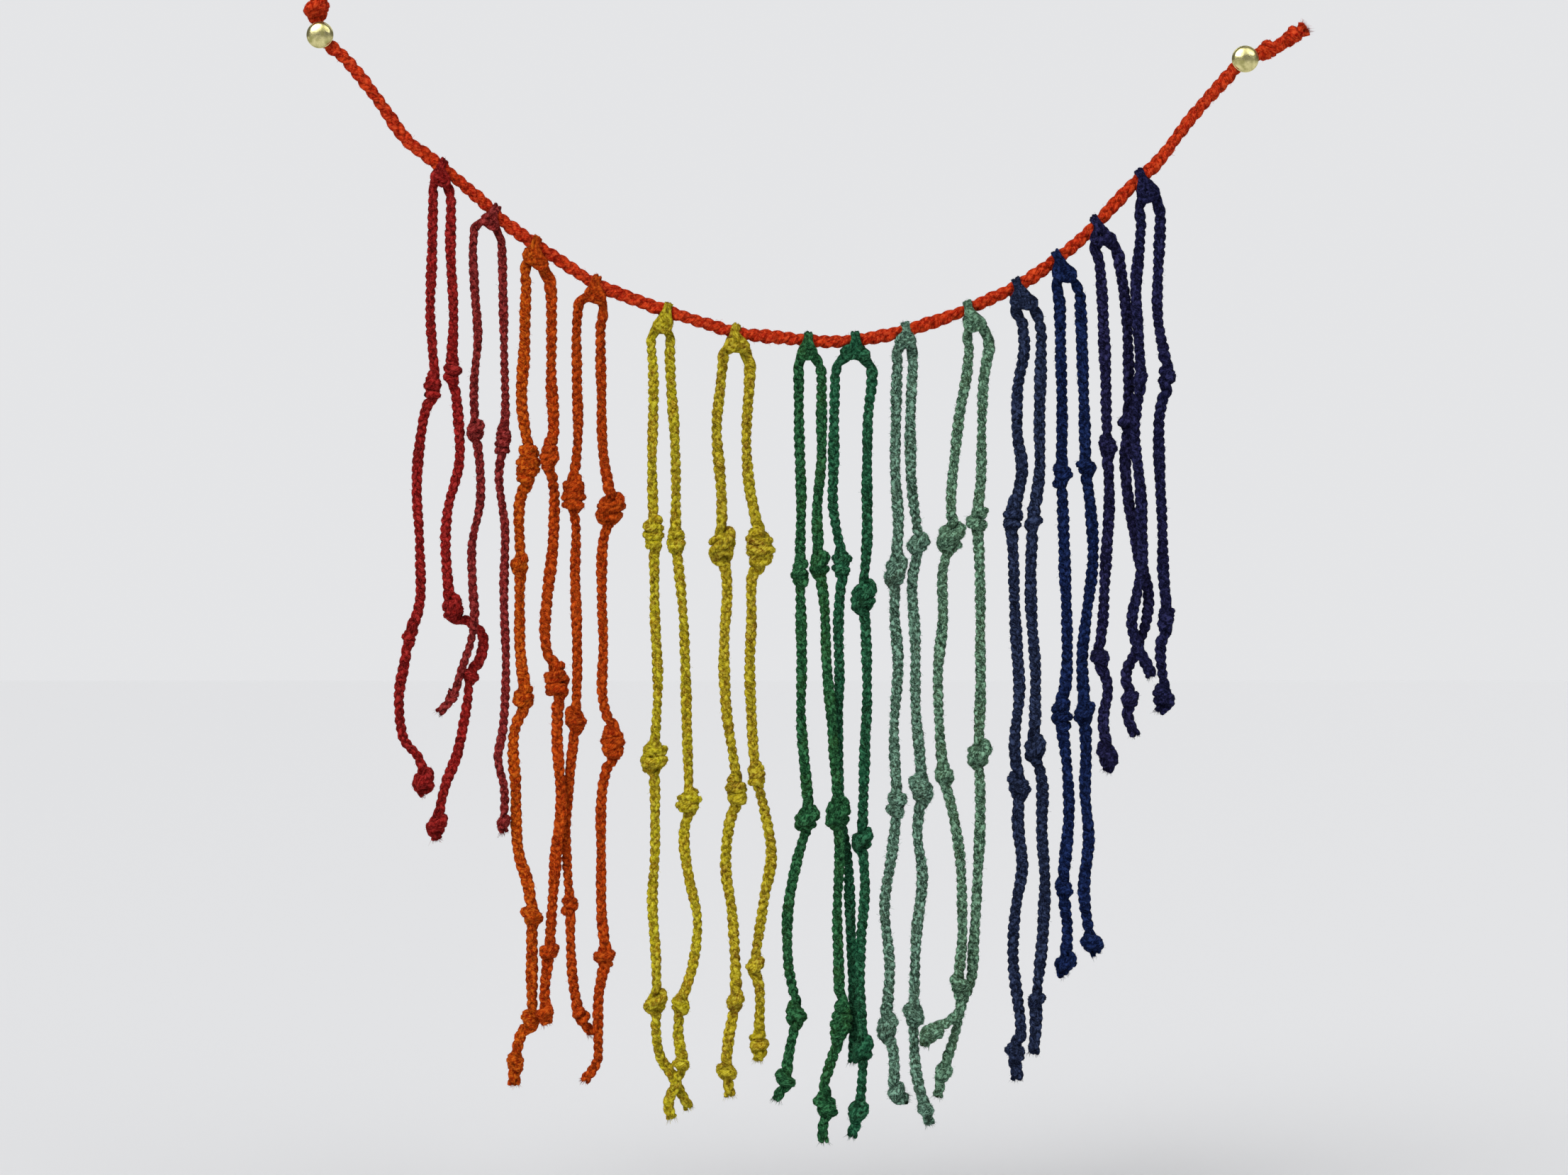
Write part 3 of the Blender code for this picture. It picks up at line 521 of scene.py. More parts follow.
def wool(name, yarns, stray, fleck, dark_mottle_and_shade, flecks=0.5):
    """Hand-spun wool: three yarns of slightly different dye with stray lengths of another,
    flecked with paler fibres and darker in patches, with painted shade in the crevices between
    the strands. Each strand is three twisted plies of long fibres."""
    finish = Finish(name, Roughness=0.95, Sheen_Weight=0.03, Sheen_Roughness=0.5,
                    Sheen_Tint=dye(*fleck), Specular_IOR_Level=0.04)  # fmt: skip
    place = finish.node("TexCoord", {}, {}, "Object")
    lay = finish.node("UVMap", {"uv_map": "lay"}, {})
    length = finish.node("SeparateXYZ", {}, {0: lay}, 0)
    turn = finish.node("SeparateXYZ", {}, {0: lay}, 1) * (2 * math.pi) + length * PLY_TWIST
    around = {0: length * FIBRE_STRETCH, 1: turn.math("COSINE"), 2: turn.math("SINE")}
    along = finish.node("CombineXYZ", {}, around)
    fibres = finish.noise(along, 7.0)
    plies = (turn * 3).math("COSINE")
    patch = finish.noise(place, 360.0).between(0.42, 0.58)
    grain = finish.noise(place, 780.0) * 0.6 + finish.noise(along, 3.2) * 0.4
    specks = finish.noise(along, 12.0, 1.0) * 0.6 + finish.noise(place, 1700.0, 1.0) * 0.4
    yarn = finish.attribute("yarn")
    first, second, third = (dye(*c) for c in yarns)
    base = finish.mix(yarn.between(0, 1), first, second)
    base = finish.mix((yarn - 1).between(0, 1), base, third)
    base = finish.mix(0.45, base, finish.mix(patch, first, third))
    strays = finish.noise(place, 110.0, 1.0).between(0.5, 0.62)
    base = finish.mix(strays * (1 - patch * 0.5) * 0.75, base, dye(*stray))
    # The dark colour goes in as mottle where the fibre and grain noise runs low.
    base = finish.mix(fibres.between(0.52, 0.36) * 0.5, base, dye(*dark_mottle_and_shade))
    base = finish.mix(grain.between(0.5, 0.41) * 0.8, base, dye(*dark_mottle_and_shade))
    # Painted shade: darker where crown is low, in the crevices between the strands.
    base = finish.mix(finish.attribute("crown").between(0.75, 0.4) * 0.85, base, dye(*dark_mottle_and_shade, 0.8))
    base = finish.mix(fibres.between(0.5, 0.66) * 0.35, base, dye(*fleck))
    base = finish.mix(grain.between(0.51, 0.58) * flecks * 1.1, base, dye(*fleck))
    base = finish.mix(specks.between(0.53, 0.63) * flecks, base, dye(*fleck))
    base = finish.mix((yarn - 2).between(0, 1) * 0.8, base, dye(*fleck))
    finish.give("Base Color", base)
    height = plies * 0.3 + fibres * 1.6 + grain * 0.8
    bump = finish.node("Bump", {}, {"Strength": 1.0, "Distance": 0.0003, "Height": height})
    finish.give("Normal", bump)
    return finish.material


def fuzz_tree():
    """Short dense down and sparse longer hairs standing off wool, as geometry nodes."""
    tree = bpy.data.node_groups.new("wool_fuzz", "GeometryNodeTree")
    sockets = {}
    for name, kind in (
        ("Geometry", "Geometry"), ("Hairs per square metre", "Float"), ("Hair length", "Float"),
        ("Hair thickness", "Float"), ("Down per square metre", "Float"),
        ("Down length", "Float"), ("Seed", "Int"), ("Wool", "Material"),
    ):  # fmt: skip
        sockets[name] = tree.interface.new_socket(
            name, in_out="INPUT", socket_type="NodeSocket" + kind
        )
    tree.interface.new_socket("Geometry", in_out="OUTPUT", socket_type="NodeSocketGeometry")
    given = tree.nodes.new("NodeGroupInput").outputs

    def add(kind, values, **settings):
        made = tree.nodes.new(kind)
        for key, value in settings.items():
            setattr(made, key, value)
        for key, value in values.items():
            if isinstance(value, bpy.types.NodeSocket):
                tree.links.new(value, made.inputs[key])
            else:
                made.inputs[key].default_value = value
        return made.outputs

    bend = add("GeometryNodeCurvePrimitiveBezierSegment", {
        "Resolution": 2, "Start": (0, 0, -0.1), "Start Handle": (0.05, 0, 0.25),
        "End Handle": (0.35, 0.1, 0.5), "End": (0.85, 0.2, 0.62),
    })  # fmt: skip
    taper = add("GeometryNodeSplineParameter", {})["Factor"]
    thin = add("ShaderNodeMath", {0: 1.0, 1: taper}, operation="SUBTRACT")[0]
    thin = add("ShaderNodeMath", {0: thin, 1: 0.25}, operation="ADD")[0]
    bend = add("GeometryNodeSetCurveRadius", {"Curve": bend[0], "Radius": thin})
    width = add("ShaderNodeMath", {0: given["Hair thickness"], 1: given["Hair length"]},
                operation="DIVIDE")[0]  # fmt: skip
    round_it = add("GeometryNodeCurvePrimitiveCircle", {"Resolution": 3, "Radius": width})
    hair = add("GeometryNodeCurveToMesh", {
        "Curve": bend[0], "Profile Curve": round_it[0], "Fill Caps": True,
    })[0]  # fmt: skip
    spike = add("GeometryNodeMeshCone", {
        "Vertices": 3, "Radius Top": 0.0, "Radius Bottom": 0.065, "Depth": 1.0,
    }, fill_type="NONE")[0]  # fmt: skip
    parts = []
    for hair_shape, density, length, tilt, offset, palest in (
        (hair, "Hairs per square metre", "Hair length", 0.6, 0, 2.0),
        (spike, "Down per square metre", "Down length", 1.0, 17, 3.2),
    ):
        seed = add("ShaderNodeMath", {0: given["Seed"], 1: float(offset)}, operation="ADD")[0]
        spots = add("GeometryNodeDistributePointsOnFaces", {
            "Mesh": given["Geometry"], "Density": given[density], "Seed": seed,
        })  # fmt: skip
        lean = add("FunctionNodeRandomValue", {
            0: (-tilt, -tilt, 0.0), 1: (tilt, tilt, 6.283), "Seed": seed,
        }, data_type="FLOAT_VECTOR")  # fmt: skip
        turned = add("FunctionNodeRotateRotation", {
            "Rotation": spots["Rotation"], "Rotate By": lean[0],
        }, rotation_space="LOCAL")  # fmt: skip
        size = add("FunctionNodeRandomValue", {
            2: 0.45, 3: 1.35, "Seed": seed,
        }, data_type="FLOAT")[1]  # fmt: skip
        size = add("ShaderNodeMath", {0: size, 1: given[length]}, operation="MULTIPLY")[0]
        made = add("GeometryNodeInstanceOnPoints", {
            "Points": spots["Points"], "Instance": hair_shape, "Rotation": turned[0],
            "Scale": size,
        })[0]  # fmt: skip
        which = add("FunctionNodeRandomValue", {
            2: 0.0, 3: palest, "Seed": 5,
        }, data_type="FLOAT")[1]  # fmt: skip
        # A crown of 1 keeps the painted crevice shade off the hairs.
        for layer, value in (("crown", 1.0), ("yarn", which)):
            made = add("GeometryNodeStoreNamedAttribute", {
                "Geometry": made, "Name": layer, "Value": value,
            }, data_type="FLOAT", domain="INSTANCE")[0]  # fmt: skip
        parts.append(made)
    joined = tree.nodes.new("GeometryNodeJoinGeometry")
    for made in (*parts, given["Geometry"]):
        tree.links.new(made, joined.inputs[0])
    whole = add("GeometryNodeRealizeInstances", {"Geometry": joined.outputs[0]})[0]
    whole = add("GeometryNodeSetMaterial", {"Geometry": whole, "Material": given["Wool"]})[0]
    tree.links.new(whole, tree.nodes.new("NodeGroupOutput").inputs[0])
    return tree, {name: socket.identifier for name, socket in sockets.items()}


FUZZ, FUZZ_INPUTS = fuzz_tree()
HAIRS_PER_METRE_SQUARE = 80000
DOWN_PER_METRE_SQUARE = 1150000
HAIR_THICK = 0.03


def give_fuzz(obj, length, seed):
    """Covers a wool piece with down and hairs and leaves it a plain mesh."""
    fuzz = obj.modifiers.new("fuzz", "NODES")
    fuzz.node_group = FUZZ
    for name, value in (
        ("Hairs per square metre", HAIRS_PER_METRE_SQUARE), ("Hair length", length * MM),
        ("Hair thickness", HAIR_THICK * MM), ("Down per square metre", DOWN_PER_METRE_SQUARE),
        ("Down length", 0.7 * length * MM), ("Seed", seed), ("Wool", obj.data.materials[0]),
    ):  # fmt: skip
        fuzz[FUZZ_INPUTS[name]] = value
    graph = bpy.context.evaluated_depsgraph_get()
    mesh = bpy.data.meshes.new_from_object(
        obj.evaluated_get(graph), preserve_all_data_layers=True, depsgraph=graph
    )
    obj.modifiers.remove(fuzz)
    mesh.name = obj.name
    obj.data = mesh


def primary_depth(x):
    return float(np.interp(
        x,
        [-1.25, 0, 30, 296, 326, 334, 347],
        [-4.3, PRIMARY_Y_AT_PIN, PRIMARY_Y, PRIMARY_Y, PRIMARY_Y_AT_PIN, PRIMARY_KNOT_Y,
         PRIMARY_KNOT_Y],
    ))  # fmt: skip


chance = np.random.default_rng(11)
primary_run = smooth_run(
    cord_with_knots(PRIMARY_ROUTE, lambda x, z: primary_depth(x), PRIMARY_THICK, chance)
)
primary_facing = facing(primary_run[0], primary_run[3], 0.5 * np.sin(primary_run[4] / 31.0))
primary_skin = Skin()
plait(primary_skin, primary_run, primary_facing, PRIMARY_PLAIT, 0, len(primary_run[0]) - 1,
      seed=3, full=0.54, flare=0.6)  # fmt: skip
for end, outward in ((0, -1), (-1, 1)):
    frayed_end(primary_skin, primary_run[0][end], outward * primary_facing[0][end],
               0.55 * PRIMARY_THICK, chance, hairs=130)  # fmt: skip
primary_wool = wool(
    "primary_wool", yarns=((178, 14, 5), (206, 34, 9), (222, 58, 16)), stray=(168, 12, 8),
    fleck=(238, 96, 50), dark_mottle_and_shade=(104, 4, 0),
)  # fmt: skip
primary = primary_skin.object("primary_cord_plait", primary_wool)
give_fuzz(primary, PRIMARY_FUZZ, 3)
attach(primary, "primary")
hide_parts("primary_cord")
lengths_along(primary_run[0])[-1] * MM
primary_run[0] * MM  # fmt: skip

# The pendant cords. Each is one cord of hand-spun wool, plaited from three strands, folded in
# half and hitched over the primary cord by its middle: the fold lies in front as a short bar,
# and both halves go over the primary cord, down behind it and through the fold.
PENDANT_PLAIT = 8.7
# A leg hangs at the depth LEG_Y, or by its own rows of (up, depth) where it passes a neighbour.
LEG_Y = -5.4
SQUEEZED_THICK = 1.8
BAR_Y = -8.2
FAN_Y = BAR_Y + 0.4
CLEARANCE = 0.3
WRAP_STEPS = 5
WRAP_STEP = math.radians(45)
USUAL_FUZZ = 0.85

# The cord at each place of its hitch: its half thickness for 1 mm of its thickness, and the
# radius with which it has to clear the primary cord, in millimetres.
LEG_TOP = (0.47, 1.6)
UNDER_BAR = (0.48, 1.0)
BEHIND = (0.44, 0.9)
FAN = (0.39, 0.9)
CORNER = (0.4, 1.1)
INWARD = (0.47, 1.25)
BAR = (0.52, 1.3)
WRAP_START_FULL = 0.33
WRAP_FULL = 0.88

# Where those places lie: the share of the primary cord's slope that the hitch follows, the
# share of the way to the leg behind it, and how far the halves stand apart.
HITCH_SLOPE = 0.6
TO_LEG = 0.3
WRAPS_APART = 0.8
UNDER_BAR_APART = 0.3
FAN_APART = 0.31
WRAP_SINK = 0.25

PRIMARY_LINE = curve_through([np.array([x, primary_depth(x), z]) for x, z, *_ in PRIMARY_ROUTE])


def nearest_on_primary(x, z):
    """(distance in the wall plane, index) of the primary cord's closest point."""
    away = np.hypot(PRIMARY_LINE[:, 0] - x, PRIMARY_LINE[:, 2] - z)
    return away.min(), int(np.argmin(away))


def clear_of_primary(place, radius):
    """How far before or behind the primary cord a cord of this radius clears it."""
    away, _ = nearest_on_primary(*place)
    need = PRIMARY_THICK / 2 + radius + CLEARANCE
    return math.sqrt(max(0.0, need**2 - away**2))


def behind_primary(place, radius):
    return PRIMARY_Y + clear_of_primary(place, radius)


def laid_behind(place, size, thick):
    """A place of a run, behind the primary cord."""
    full, radius = size
    return np.array([place[0], behind_primary(place, radius), place[1]]), full * thick, 0.0, FRONT


def laid_before(place, size, thick, level=BAR_Y):
    """A place of a run, in front of the primary cord and at least as far out as the level."""
    full, radius = size
    y = min(PRIMARY_Y - clear_of_primary(place, radius), level)
    return np.array([place[0], y, place[1]]), full * thick, 0.0, FRONT


def hitch(pendant):
    """The lark's head: from the left leg up behind the primary cord, over it, down and
    outward, across in front of both legs, and back the same way to the right leg."""
    thick, thin = pendant["thick"], SQUEEZED_THICK / 2
    _, index = nearest_on_primary(*pendant["hitch"])
    centre = PRIMARY_LINE[index][[0, 2]]
    tangent = unit((PRIMARY_LINE[index + 2] - PRIMARY_LINE[index - 2])[[0, 2]])
    along = unit(HITCH_SLOPE * tangent + np.array([1 - HITCH_SLOPE, 0]))
    up = np.array([-along[1], along[0]])
    lean = abs(np.dot(tangent, along))
    ends = {-1: np.array(pendant["left"][0][:2]), 1: np.array(pendant["right"][0][:2])}
    middle = (ends[-1] + ends[1]) / 2
    bar = unit(ends[1] - ends[-1])
    under = np.array([bar[1], -bar[0]])
    round_it = (PRIMARY_THICK / 2 + WRAP_SINK * thin) / math.cos(WRAP_STEP / 2)
    half = {}
    for side, end in ends.items():
        strand = centre + side * WRAPS_APART * thin * tangent
        low = strand - round_it * math.sin(WRAP_STEP) / lean * up
        low = TO_LEG * end + (1 - TO_LEG) * low
        under_bar = middle + side * UNDER_BAR_APART * thick * bar
        under_bar = TO_LEG * end + (1 - TO_LEG) * under_bar
        half[side] = [laid_behind(under_bar, UNDER_BAR, thick), laid_behind(low, BEHIND, thick)]
        for turn in range(WRAP_STEPS + 1):
            angle = WRAP_STEP * (turn - 1)
            place = strand + round_it * math.sin(angle) / lean * up
            place = np.array([place[0], PRIMARY_Y + round_it * math.cos(angle), place[1]])
            outward = math.sin(angle) * up
            outward = np.array([outward[0], math.cos(angle), outward[1]])
            full = WRAP_START_FULL * thick if turn == 0 else WRAP_FULL * thin
            half[side].append((place, full, 0.0, outward))
        fan = 0.5 * centre + 0.5 * middle + side * FAN_APART * thick * bar
        corner = 0.82 * end + 0.18 * middle - 0.2 * under
        inward = 0.5 * end + 0.5 * middle + 0.6 * under
        half[side] += [
            laid_before(fan, FAN, thick, FAN_Y),
            laid_before(corner, CORNER, thick),
            laid_before(inward, INWARD, thick),
        ]
    bar_middle = laid_before(middle + 0.4 * under, BAR, thick)
    return [*half[-1], bar_middle, *reversed(half[1])]


def leg(pendant, side, chance):
    """Places, half thicknesses and steadiness of one leg, from below its hitch to its end."""
    route, levels = pendant[side], pendant.get(side + "_depth", [])
    radius = pendant["thick"] / 2
    start_x, start_z = route[0]
    next_x, next_z = route[1][:2]

    def depth_of(x, z):
        usual = LEG_Y
        if levels:
            usual = float(np.interp(-z, [-up for up, _ in levels], [y for _, y in levels]))
        near_top = start_x + (next_x - start_x) * min(1.0, (start_z - z) / (start_z - next_z))
        share = min(1.0, (start_z - z) / 6)
        return max(behind_primary((near_top, z), radius), usual) * (1 - share) + usual * share

    place = (0.6 * start_x + 0.4 * next_x, 0.6 * start_z + 0.4 * next_z)
    near = laid_behind(place, LEG_TOP, pendant["thick"])
    return [near, *cord_with_knots(route[1:], depth_of, pendant["thick"], chance)]


def hang(name, seed, dyes, right_dyes=None, **pendant):
    """Makes a pendant cord as its two legs, which meet in the middle of the hitch's bar."""
    finish = wool(name + "_wool", **dyes)
    looks = {"left": finish, "right": finish}
    if right_dyes:
        looks["right"] = wool(name + "_red_wool", **right_dyes)
    chance = np.random.default_rng(seed)
    left, right = leg(pendant, "left", chance), leg(pendant, "right", chance)
    wrapped = hitch(pendant)
    run = smooth_run([*reversed(left), *wrapped, *right], len(left) + len(wrapped) // 2)
    places, _, _, outer, marks, middle = run
    wander = 0.55 * np.sin(marks / 23.0 + seed) + 0.3 * np.sin(marks / 9.0 + 2 * seed)
    turned = facing(places, outer, wander)
    body = name.replace("pendant", "cord")
    for side, first, last, end, outward in (
        ("left", 0, middle, 0, -1), ("right", middle, len(places) - 1, -1, 1),
    ):  # fmt: skip
        skin = Skin()
        plait(skin, run, turned, PENDANT_PLAIT, first, last, seed)
        frayed_end(skin, places[end], outward * turned[0][end], pendant["thick"] / 2, chance)
        piece = skin.object(f"{name}_{side}_leg", looks[side])
        give_fuzz(piece, pendant.get("fuzz", USUAL_FUZZ), seed)
        path = places[first : last + 1]
        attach(piece, body)
        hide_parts(name)
        places[middle] * MM
        lengths_along(path)[-1] * MM
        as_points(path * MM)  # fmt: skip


# The two red pendants, the shortest but for the indigo ones: deep scarlet wool and a thinner,
# duskier crimson, both flecked with pink fibres. Their legs are cut off below a last knot.
hang(
    "red_pendant_1", seed=21, thick=3.6, hitch=(42.25, -47.5),
    dyes=dict(
        yarns=((94, 2, 3), (128, 6, 6), (157, 16, 13)), stray=(149, 22, 16), fleck=(205, 65, 61),
        dark_mottle_and_shade=(54, 1, 1), flecks=0.5,
    ),
    left=[
        (39.75, -50), (39.75, -56.5), (39.5, -72.5), (38.75, -97), (39.75, -123.5, 6.25, 10),
        (36.5, -134.5), (34, -158), (35, -180), (35, -200), (31.5, -212, 5.75, 8.5), (29.5, -222),
        (27.75, -234), (29.5, -248.5), (34.5, -254.5), (36.5, -262.75, 8, 8), (36, -267.5),
    ],
    right=[
        (45, -52), (46, -59), (46, -77), (47, -100), (46.5, -118, 6.25, 11), (48.25, -131),
        (49, -150), (45, -167), (44.25, -184), (46.75, -201.75, 7.75, 9), (51, -206),
        (56.75, -211), (56.75, -218), (53, -226.25, 5, 5.5), (51.5, -237.5), (48, -254),
        (44.25, -264), (41.25, -278.25, 7, 7.5), (41, -283.5),
    ],
    right_depth=[(-196, LEG_Y), (-203, -2.7), (-214, -2.7), (-223, -4.4), (-236, LEG_Y)],
)  # fmt: skip
hang(
    "red_pendant_2", seed=22, thick=3.1, hitch=(61, -62.5),
    dyes=dict(
        yarns=((79, 2, 3), (111, 6, 6), (137, 20, 18)), stray=(105, 13, 18), fleck=(192, 79, 75),
        dark_mottle_and_shade=(40, 1, 1), flecks=0.6,
    ),
    left=[
        (57.25, -64.5), (54.25, -68.5), (53.75, -76), (54.5, -90), (55.5, -106), (54.25, -122.5),
        (54.75, -139, 6.5, 7.5), (56.25, -152), (56.25, -165), (53.5, -179.5), (53.75, -194),
        (54.5, -206), (53.25, -214), (50.5, -222), (46.5, -233, 4.5, 6.25), (42, -239),
    ],
    left_depth=[(-190, LEG_Y), (-200, -7.9), (-224, -7.9), (-234, -5.8)],
    right=[
        (62.75, -68), (64, -75), (64.5, -92), (64.75, -111), (65.25, -130), (64.5, -142.5, 6, 11),
        (63, -155.5), (65, -173.5), (64.75, -200), (65.5, -222), (65, -236), (64.25, -246),
        (62.75, -255), (65, -266), (64.75, -277.5, 4.5, 5), (64.75, -281),
    ],
    right_depth=[(-240, LEG_Y), (-262, -7.4), (-281, -7.6)],
)  # fmt: skip

# The two orange pendants. The first one's left leg is mottled, of rust and straw wool; the
# other three legs are an even red-orange.
RED_ORANGE = dict(
    yarns=((140, 15, 1), (175, 33, 3), (197, 57, 6)), stray=(195, 66, 9), fleck=(234, 114, 36),
    dark_mottle_and_shade=(78, 7, 0), flecks=0.45,
)
hang(
    "orange_pendant_1", seed=31, thick=4.0, hitch=(75.25, -74.25), right_dyes=RED_ORANGE,
    dyes=dict(
        yarns=((155, 20, 2), (184, 42, 4), (201, 66, 7)), stray=(167, 21, 4), fleck=(235, 126, 34),
        dark_mottle_and_shade=(83, 8, 0), flecks=0.55,
    ),
    left=[
        (72.25, -77.25), (72.5, -88), (72, -108.75), (71, -128), (73.25, -151.5, 8.5, 14),
        (70.25, -166), (70.5, -186, 5, 7), (70.25, -213.5), (71.75, -233.5, 8, 9), (68.25, -247),
        (68.75, -264), (70, -288.5), (73, -298.75), (74.5, -309.75, 6.75, 7), (74.5, -330),
        (74, -347, 6.5, 6.25), (70.5, -353), (68.75, -362, 6, 7), (68.25, -370),
    ],
    right=[
        (79.75, -81.75), (81.5, -91), (81.5, -104), (81.5, -122), (82.25, -139),
        (81, -149.25, 7, 10), (82.5, -162), (82, -180), (80, -198), (79.5, -215),
        (83.25, -227.75, 9, 12), (83.5, -247), (85, -274), (83.25, -288), (82, -304),
        (80.75, -323, 6.75, 5.25), (79.25, -337), (79.75, -344.5, 5, 6), (80, -348),
    ],
    right_depth=[
        (-132, LEG_Y), (-149, -8.4), (-166, LEG_Y), (-255, LEG_Y), (-268, -7.9), (-286, -7.9),
        (-300, LEG_Y), (-326, LEG_Y), (-344, -9),
    ],
)  # fmt: skip
hang(
    "orange_pendant_2", seed=32, thick=3.6, hitch=(97.5, -87.75), dyes=RED_ORANGE,
    left=[
        (93.75, -91), (91, -95.5), (90.25, -106), (90.5, -119.5), (90.75, -142.5),
        (89.25, -162, 8.5, 12.5), (90.25, -176), (89.75, -189), (90.5, -211),
        (90, -241.5, 7.25, 8.25), (88, -260), (86.5, -276.5), (87.25, -297.5),
        (88, -306.75, 6.5, 7.75), (89, -333), (91.75, -346, 6, 6.25), (95.5, -352.5),
    ],
    left_depth=[
        (-250, LEG_Y), (-266, -3), (-286, -3), (-300, LEG_Y), (-334, LEG_Y), (-346, -4),
        (-352, -2.6),
    ],
    right=[
        (100.5, -93.5), (98.75, -103), (99, -122.5), (99.75, -147.5), (102.25, -167, 10, 9.75),
        (99.5, -180), (99.25, -197.5), (99.75, -215), (99.5, -233), (103, -249.5, 8.25, 12.5),
        (99.5, -265), (99, -287.5), (99.25, -310), (100.25, -325.25, 8.25, 7.5), (98.25, -338),
        (98, -352), (97.5, -362), (93, -368.75),
    ],
    right_depth=[(-330, LEG_Y), (-342, -7.4), (-358, -7.4), (-368, -6)],
)  # fmt: skip

# The two yellow pendants, one greenish and one warmer with ochre yarns. Each leg is tied in a
# tall knot well below the hitch, another at half its length, and small ones near its end.
hang(
    "yellow_pendant_1", seed=41, thick=3.6, hitch=(121.5, -97.25),
    dyes=dict(
        yarns=((140, 88, 3), (180, 158, 7), (208, 190, 14)), stray=(180, 125, 5),
        fleck=(233, 224, 73), dark_mottle_and_shade=(77, 57, 2), flecks=0.55,
    ),
    left=[
        (118, -102.5), (116.5, -108.5), (117.5, -120), (117, -148), (117.5, -176, 7.25, 12),
        (117.75, -190), (118, -205), (119, -230), (117.75, -254.75, 9.75, 11), (118, -272.5),
        (118, -289), (117, -305), (118.25, -323.5), (118.5, -340.75, 8, 8.25), (118.5, -353),
        (120, -361), (124, -367), (127, -373), (130, -378.5),
    ],
    left_depth=[(-352, LEG_Y), (-361, -3.2), (-372, -2.9), (-379, -3.6)],
    right=[
        (123.5, -103.5), (123.25, -112), (123.75, -124), (125.25, -147.5), (125.5, -178, 7, 10.5),
        (127, -193.75), (128.5, -215), (129, -238), (129.75, -270.25, 8.5, 9.25), (128.25, -283),
        (130, -297.5), (133, -312.5), (131.5, -327), (127.25, -341.75, 6.5, 7.25), (126.25, -352),
        (127.5, -362.5, 5.5, 5), (125, -370.5), (122.75, -377), (124, -381.75),
    ],
    right_depth=[(-352, LEG_Y), (-361, -7.8), (-372, -7.8), (-381, -6.6)],
)  # fmt: skip
hang(
    "yellow_pendant_2", seed=42, thick=3.8, hitch=(147, -104.75),
    dyes=dict(
        yarns=((134, 79, 4), (175, 149, 8), (201, 177, 18)), stray=(190, 175, 11),
        fleck=(229, 214, 73), dark_mottle_and_shade=(72, 44, 2), flecks=0.55,
    ),
    left=[
        (143, -109), (142, -114.5), (141, -124.5), (139.75, -140), (141.5, -162),
        (141.75, -179.75, 9.5, 11.5), (143.5, -194), (142.5, -212.5), (143, -236.5),
        (146.75, -266.25, 8, 10.5), (144, -279.5), (143, -294), (145.5, -312.5),
        (146.25, -340.25, 6, 7.75), (144, -353.75), (143.25, -365, 7.25, 6.25), (144.5, -374),
    ],
    right=[
        (151.25, -110.5), (151.25, -122.5), (150.25, -141.75), (151.25, -159),
        (155, -180.75, 10, 13), (152.25, -192), (152, -205), (151.5, -220), (152, -241),
        (153.75, -260.5, 6.5, 9.25), (157, -275), (159, -289.25), (156.5, -305),
        (153.5, -328, 6, 6), (155, -338), (154.5, -356, 6.5, 10), (154.5, -361.25),
    ],
    right_depth=[(-243, LEG_Y), (-260, -8.4), (-277, LEG_Y)],
)  # fmt: skip

# The two emerald pendants, with teal and olive fibres in the spin. The first one's right leg
# hangs in front of the second one's left leg, and crosses it.
hang(
    "green_pendant_1", seed=51, thick=3.7, hitch=(171.75, -107.5),
    dyes=dict(
        yarns=((2, 27, 12), (5, 50, 24), (15, 71, 39)), stray=(42, 72, 18), fleck=(80, 152, 100),
        dark_mottle_and_shade=(0, 14, 5), flecks=0.55,
    ),
    left=[
        (168.75, -112.5), (168.75, -120), (168.75, -137), (169.5, -160), (169.25, -190, 6.5, 9.75),
        (169.5, -206), (169.75, -226), (169.5, -242), (171.75, -276, 8.25, 9), (168, -291.25),
        (164.75, -310), (165, -327), (167.75, -344.75, 6.5, 8.5), (165.25, -358.75),
        (163.75, -368.25, 7.25, 5.75), (160.75, -375.5),
    ],
    right=[
        (174.5, -112), (176.75, -119.5), (176.75, -132), (176.75, -148), (175.25, -168),
        (176, -186, 6.75, 9.5), (177.75, -201), (178.5, -220), (180.25, -241.5),
        (182.5, -273.75, 9, 10), (183, -290), (182.25, -311), (183, -334), (183.5, -348, 7, 16),
        (179.75, -363), (177.75, -370), (178.25, -377, 7.75, 8.5), (177.25, -385),
        (177.25, -390.25),
    ],
    right_depth=[
        (-225, LEG_Y), (-240, -8.4), (-262, -9.4), (-282, -9.4), (-296, -7.6), (-350, -7.6),
        (-364, LEG_Y),
    ],
)  # fmt: skip
hang(
    "green_pendant_2", seed=52, thick=3.7, hitch=(188.25, -107.5),
    dyes=dict(
        yarns=((15, 34, 10), (4, 48, 26), (10, 69, 43)), stray=(6, 80, 54), fleck=(76, 148, 108),
        dark_mottle_and_shade=(0, 12, 5), flecks=0.55,
    ),
    left=[
        (183.75, -112), (181.5, -120), (181.25, -132), (181, -150), (180.75, -165),
        (183.75, -186.5, 7, 10.5), (182.75, -204), (183, -225), (182.5, -250), (183.25, -274),
        (186, -291), (187, -313.25), (187.75, -331), (188.25, -345), (188, -362.5),
    ],
    left_depth=[(-206, LEG_Y), (-232, -3.2), (-282, -2.6), (-300, -3.2), (-362, -2.8)],
    right=[
        (193.75, -113), (194.5, -122.5), (193.25, -134), (192.75, -149), (192.75, -176),
        (191.75, -197.5, 9, 11.5), (192.5, -214), (192.75, -234), (191.75, -259),
        (191.25, -283.5, 7.5, 8), (192, -301), (190.5, -320), (190.25, -335),
        (191.25, -356.75, 7.25, 8.5), (191, -369), (189.75, -379.5, 6.75, 8), (187.25, -388.25),
    ],
    right_depth=[(-288, LEG_Y), (-310, -7.6), (-360, -8.2), (-376, -6.4)],
)  # fmt: skip

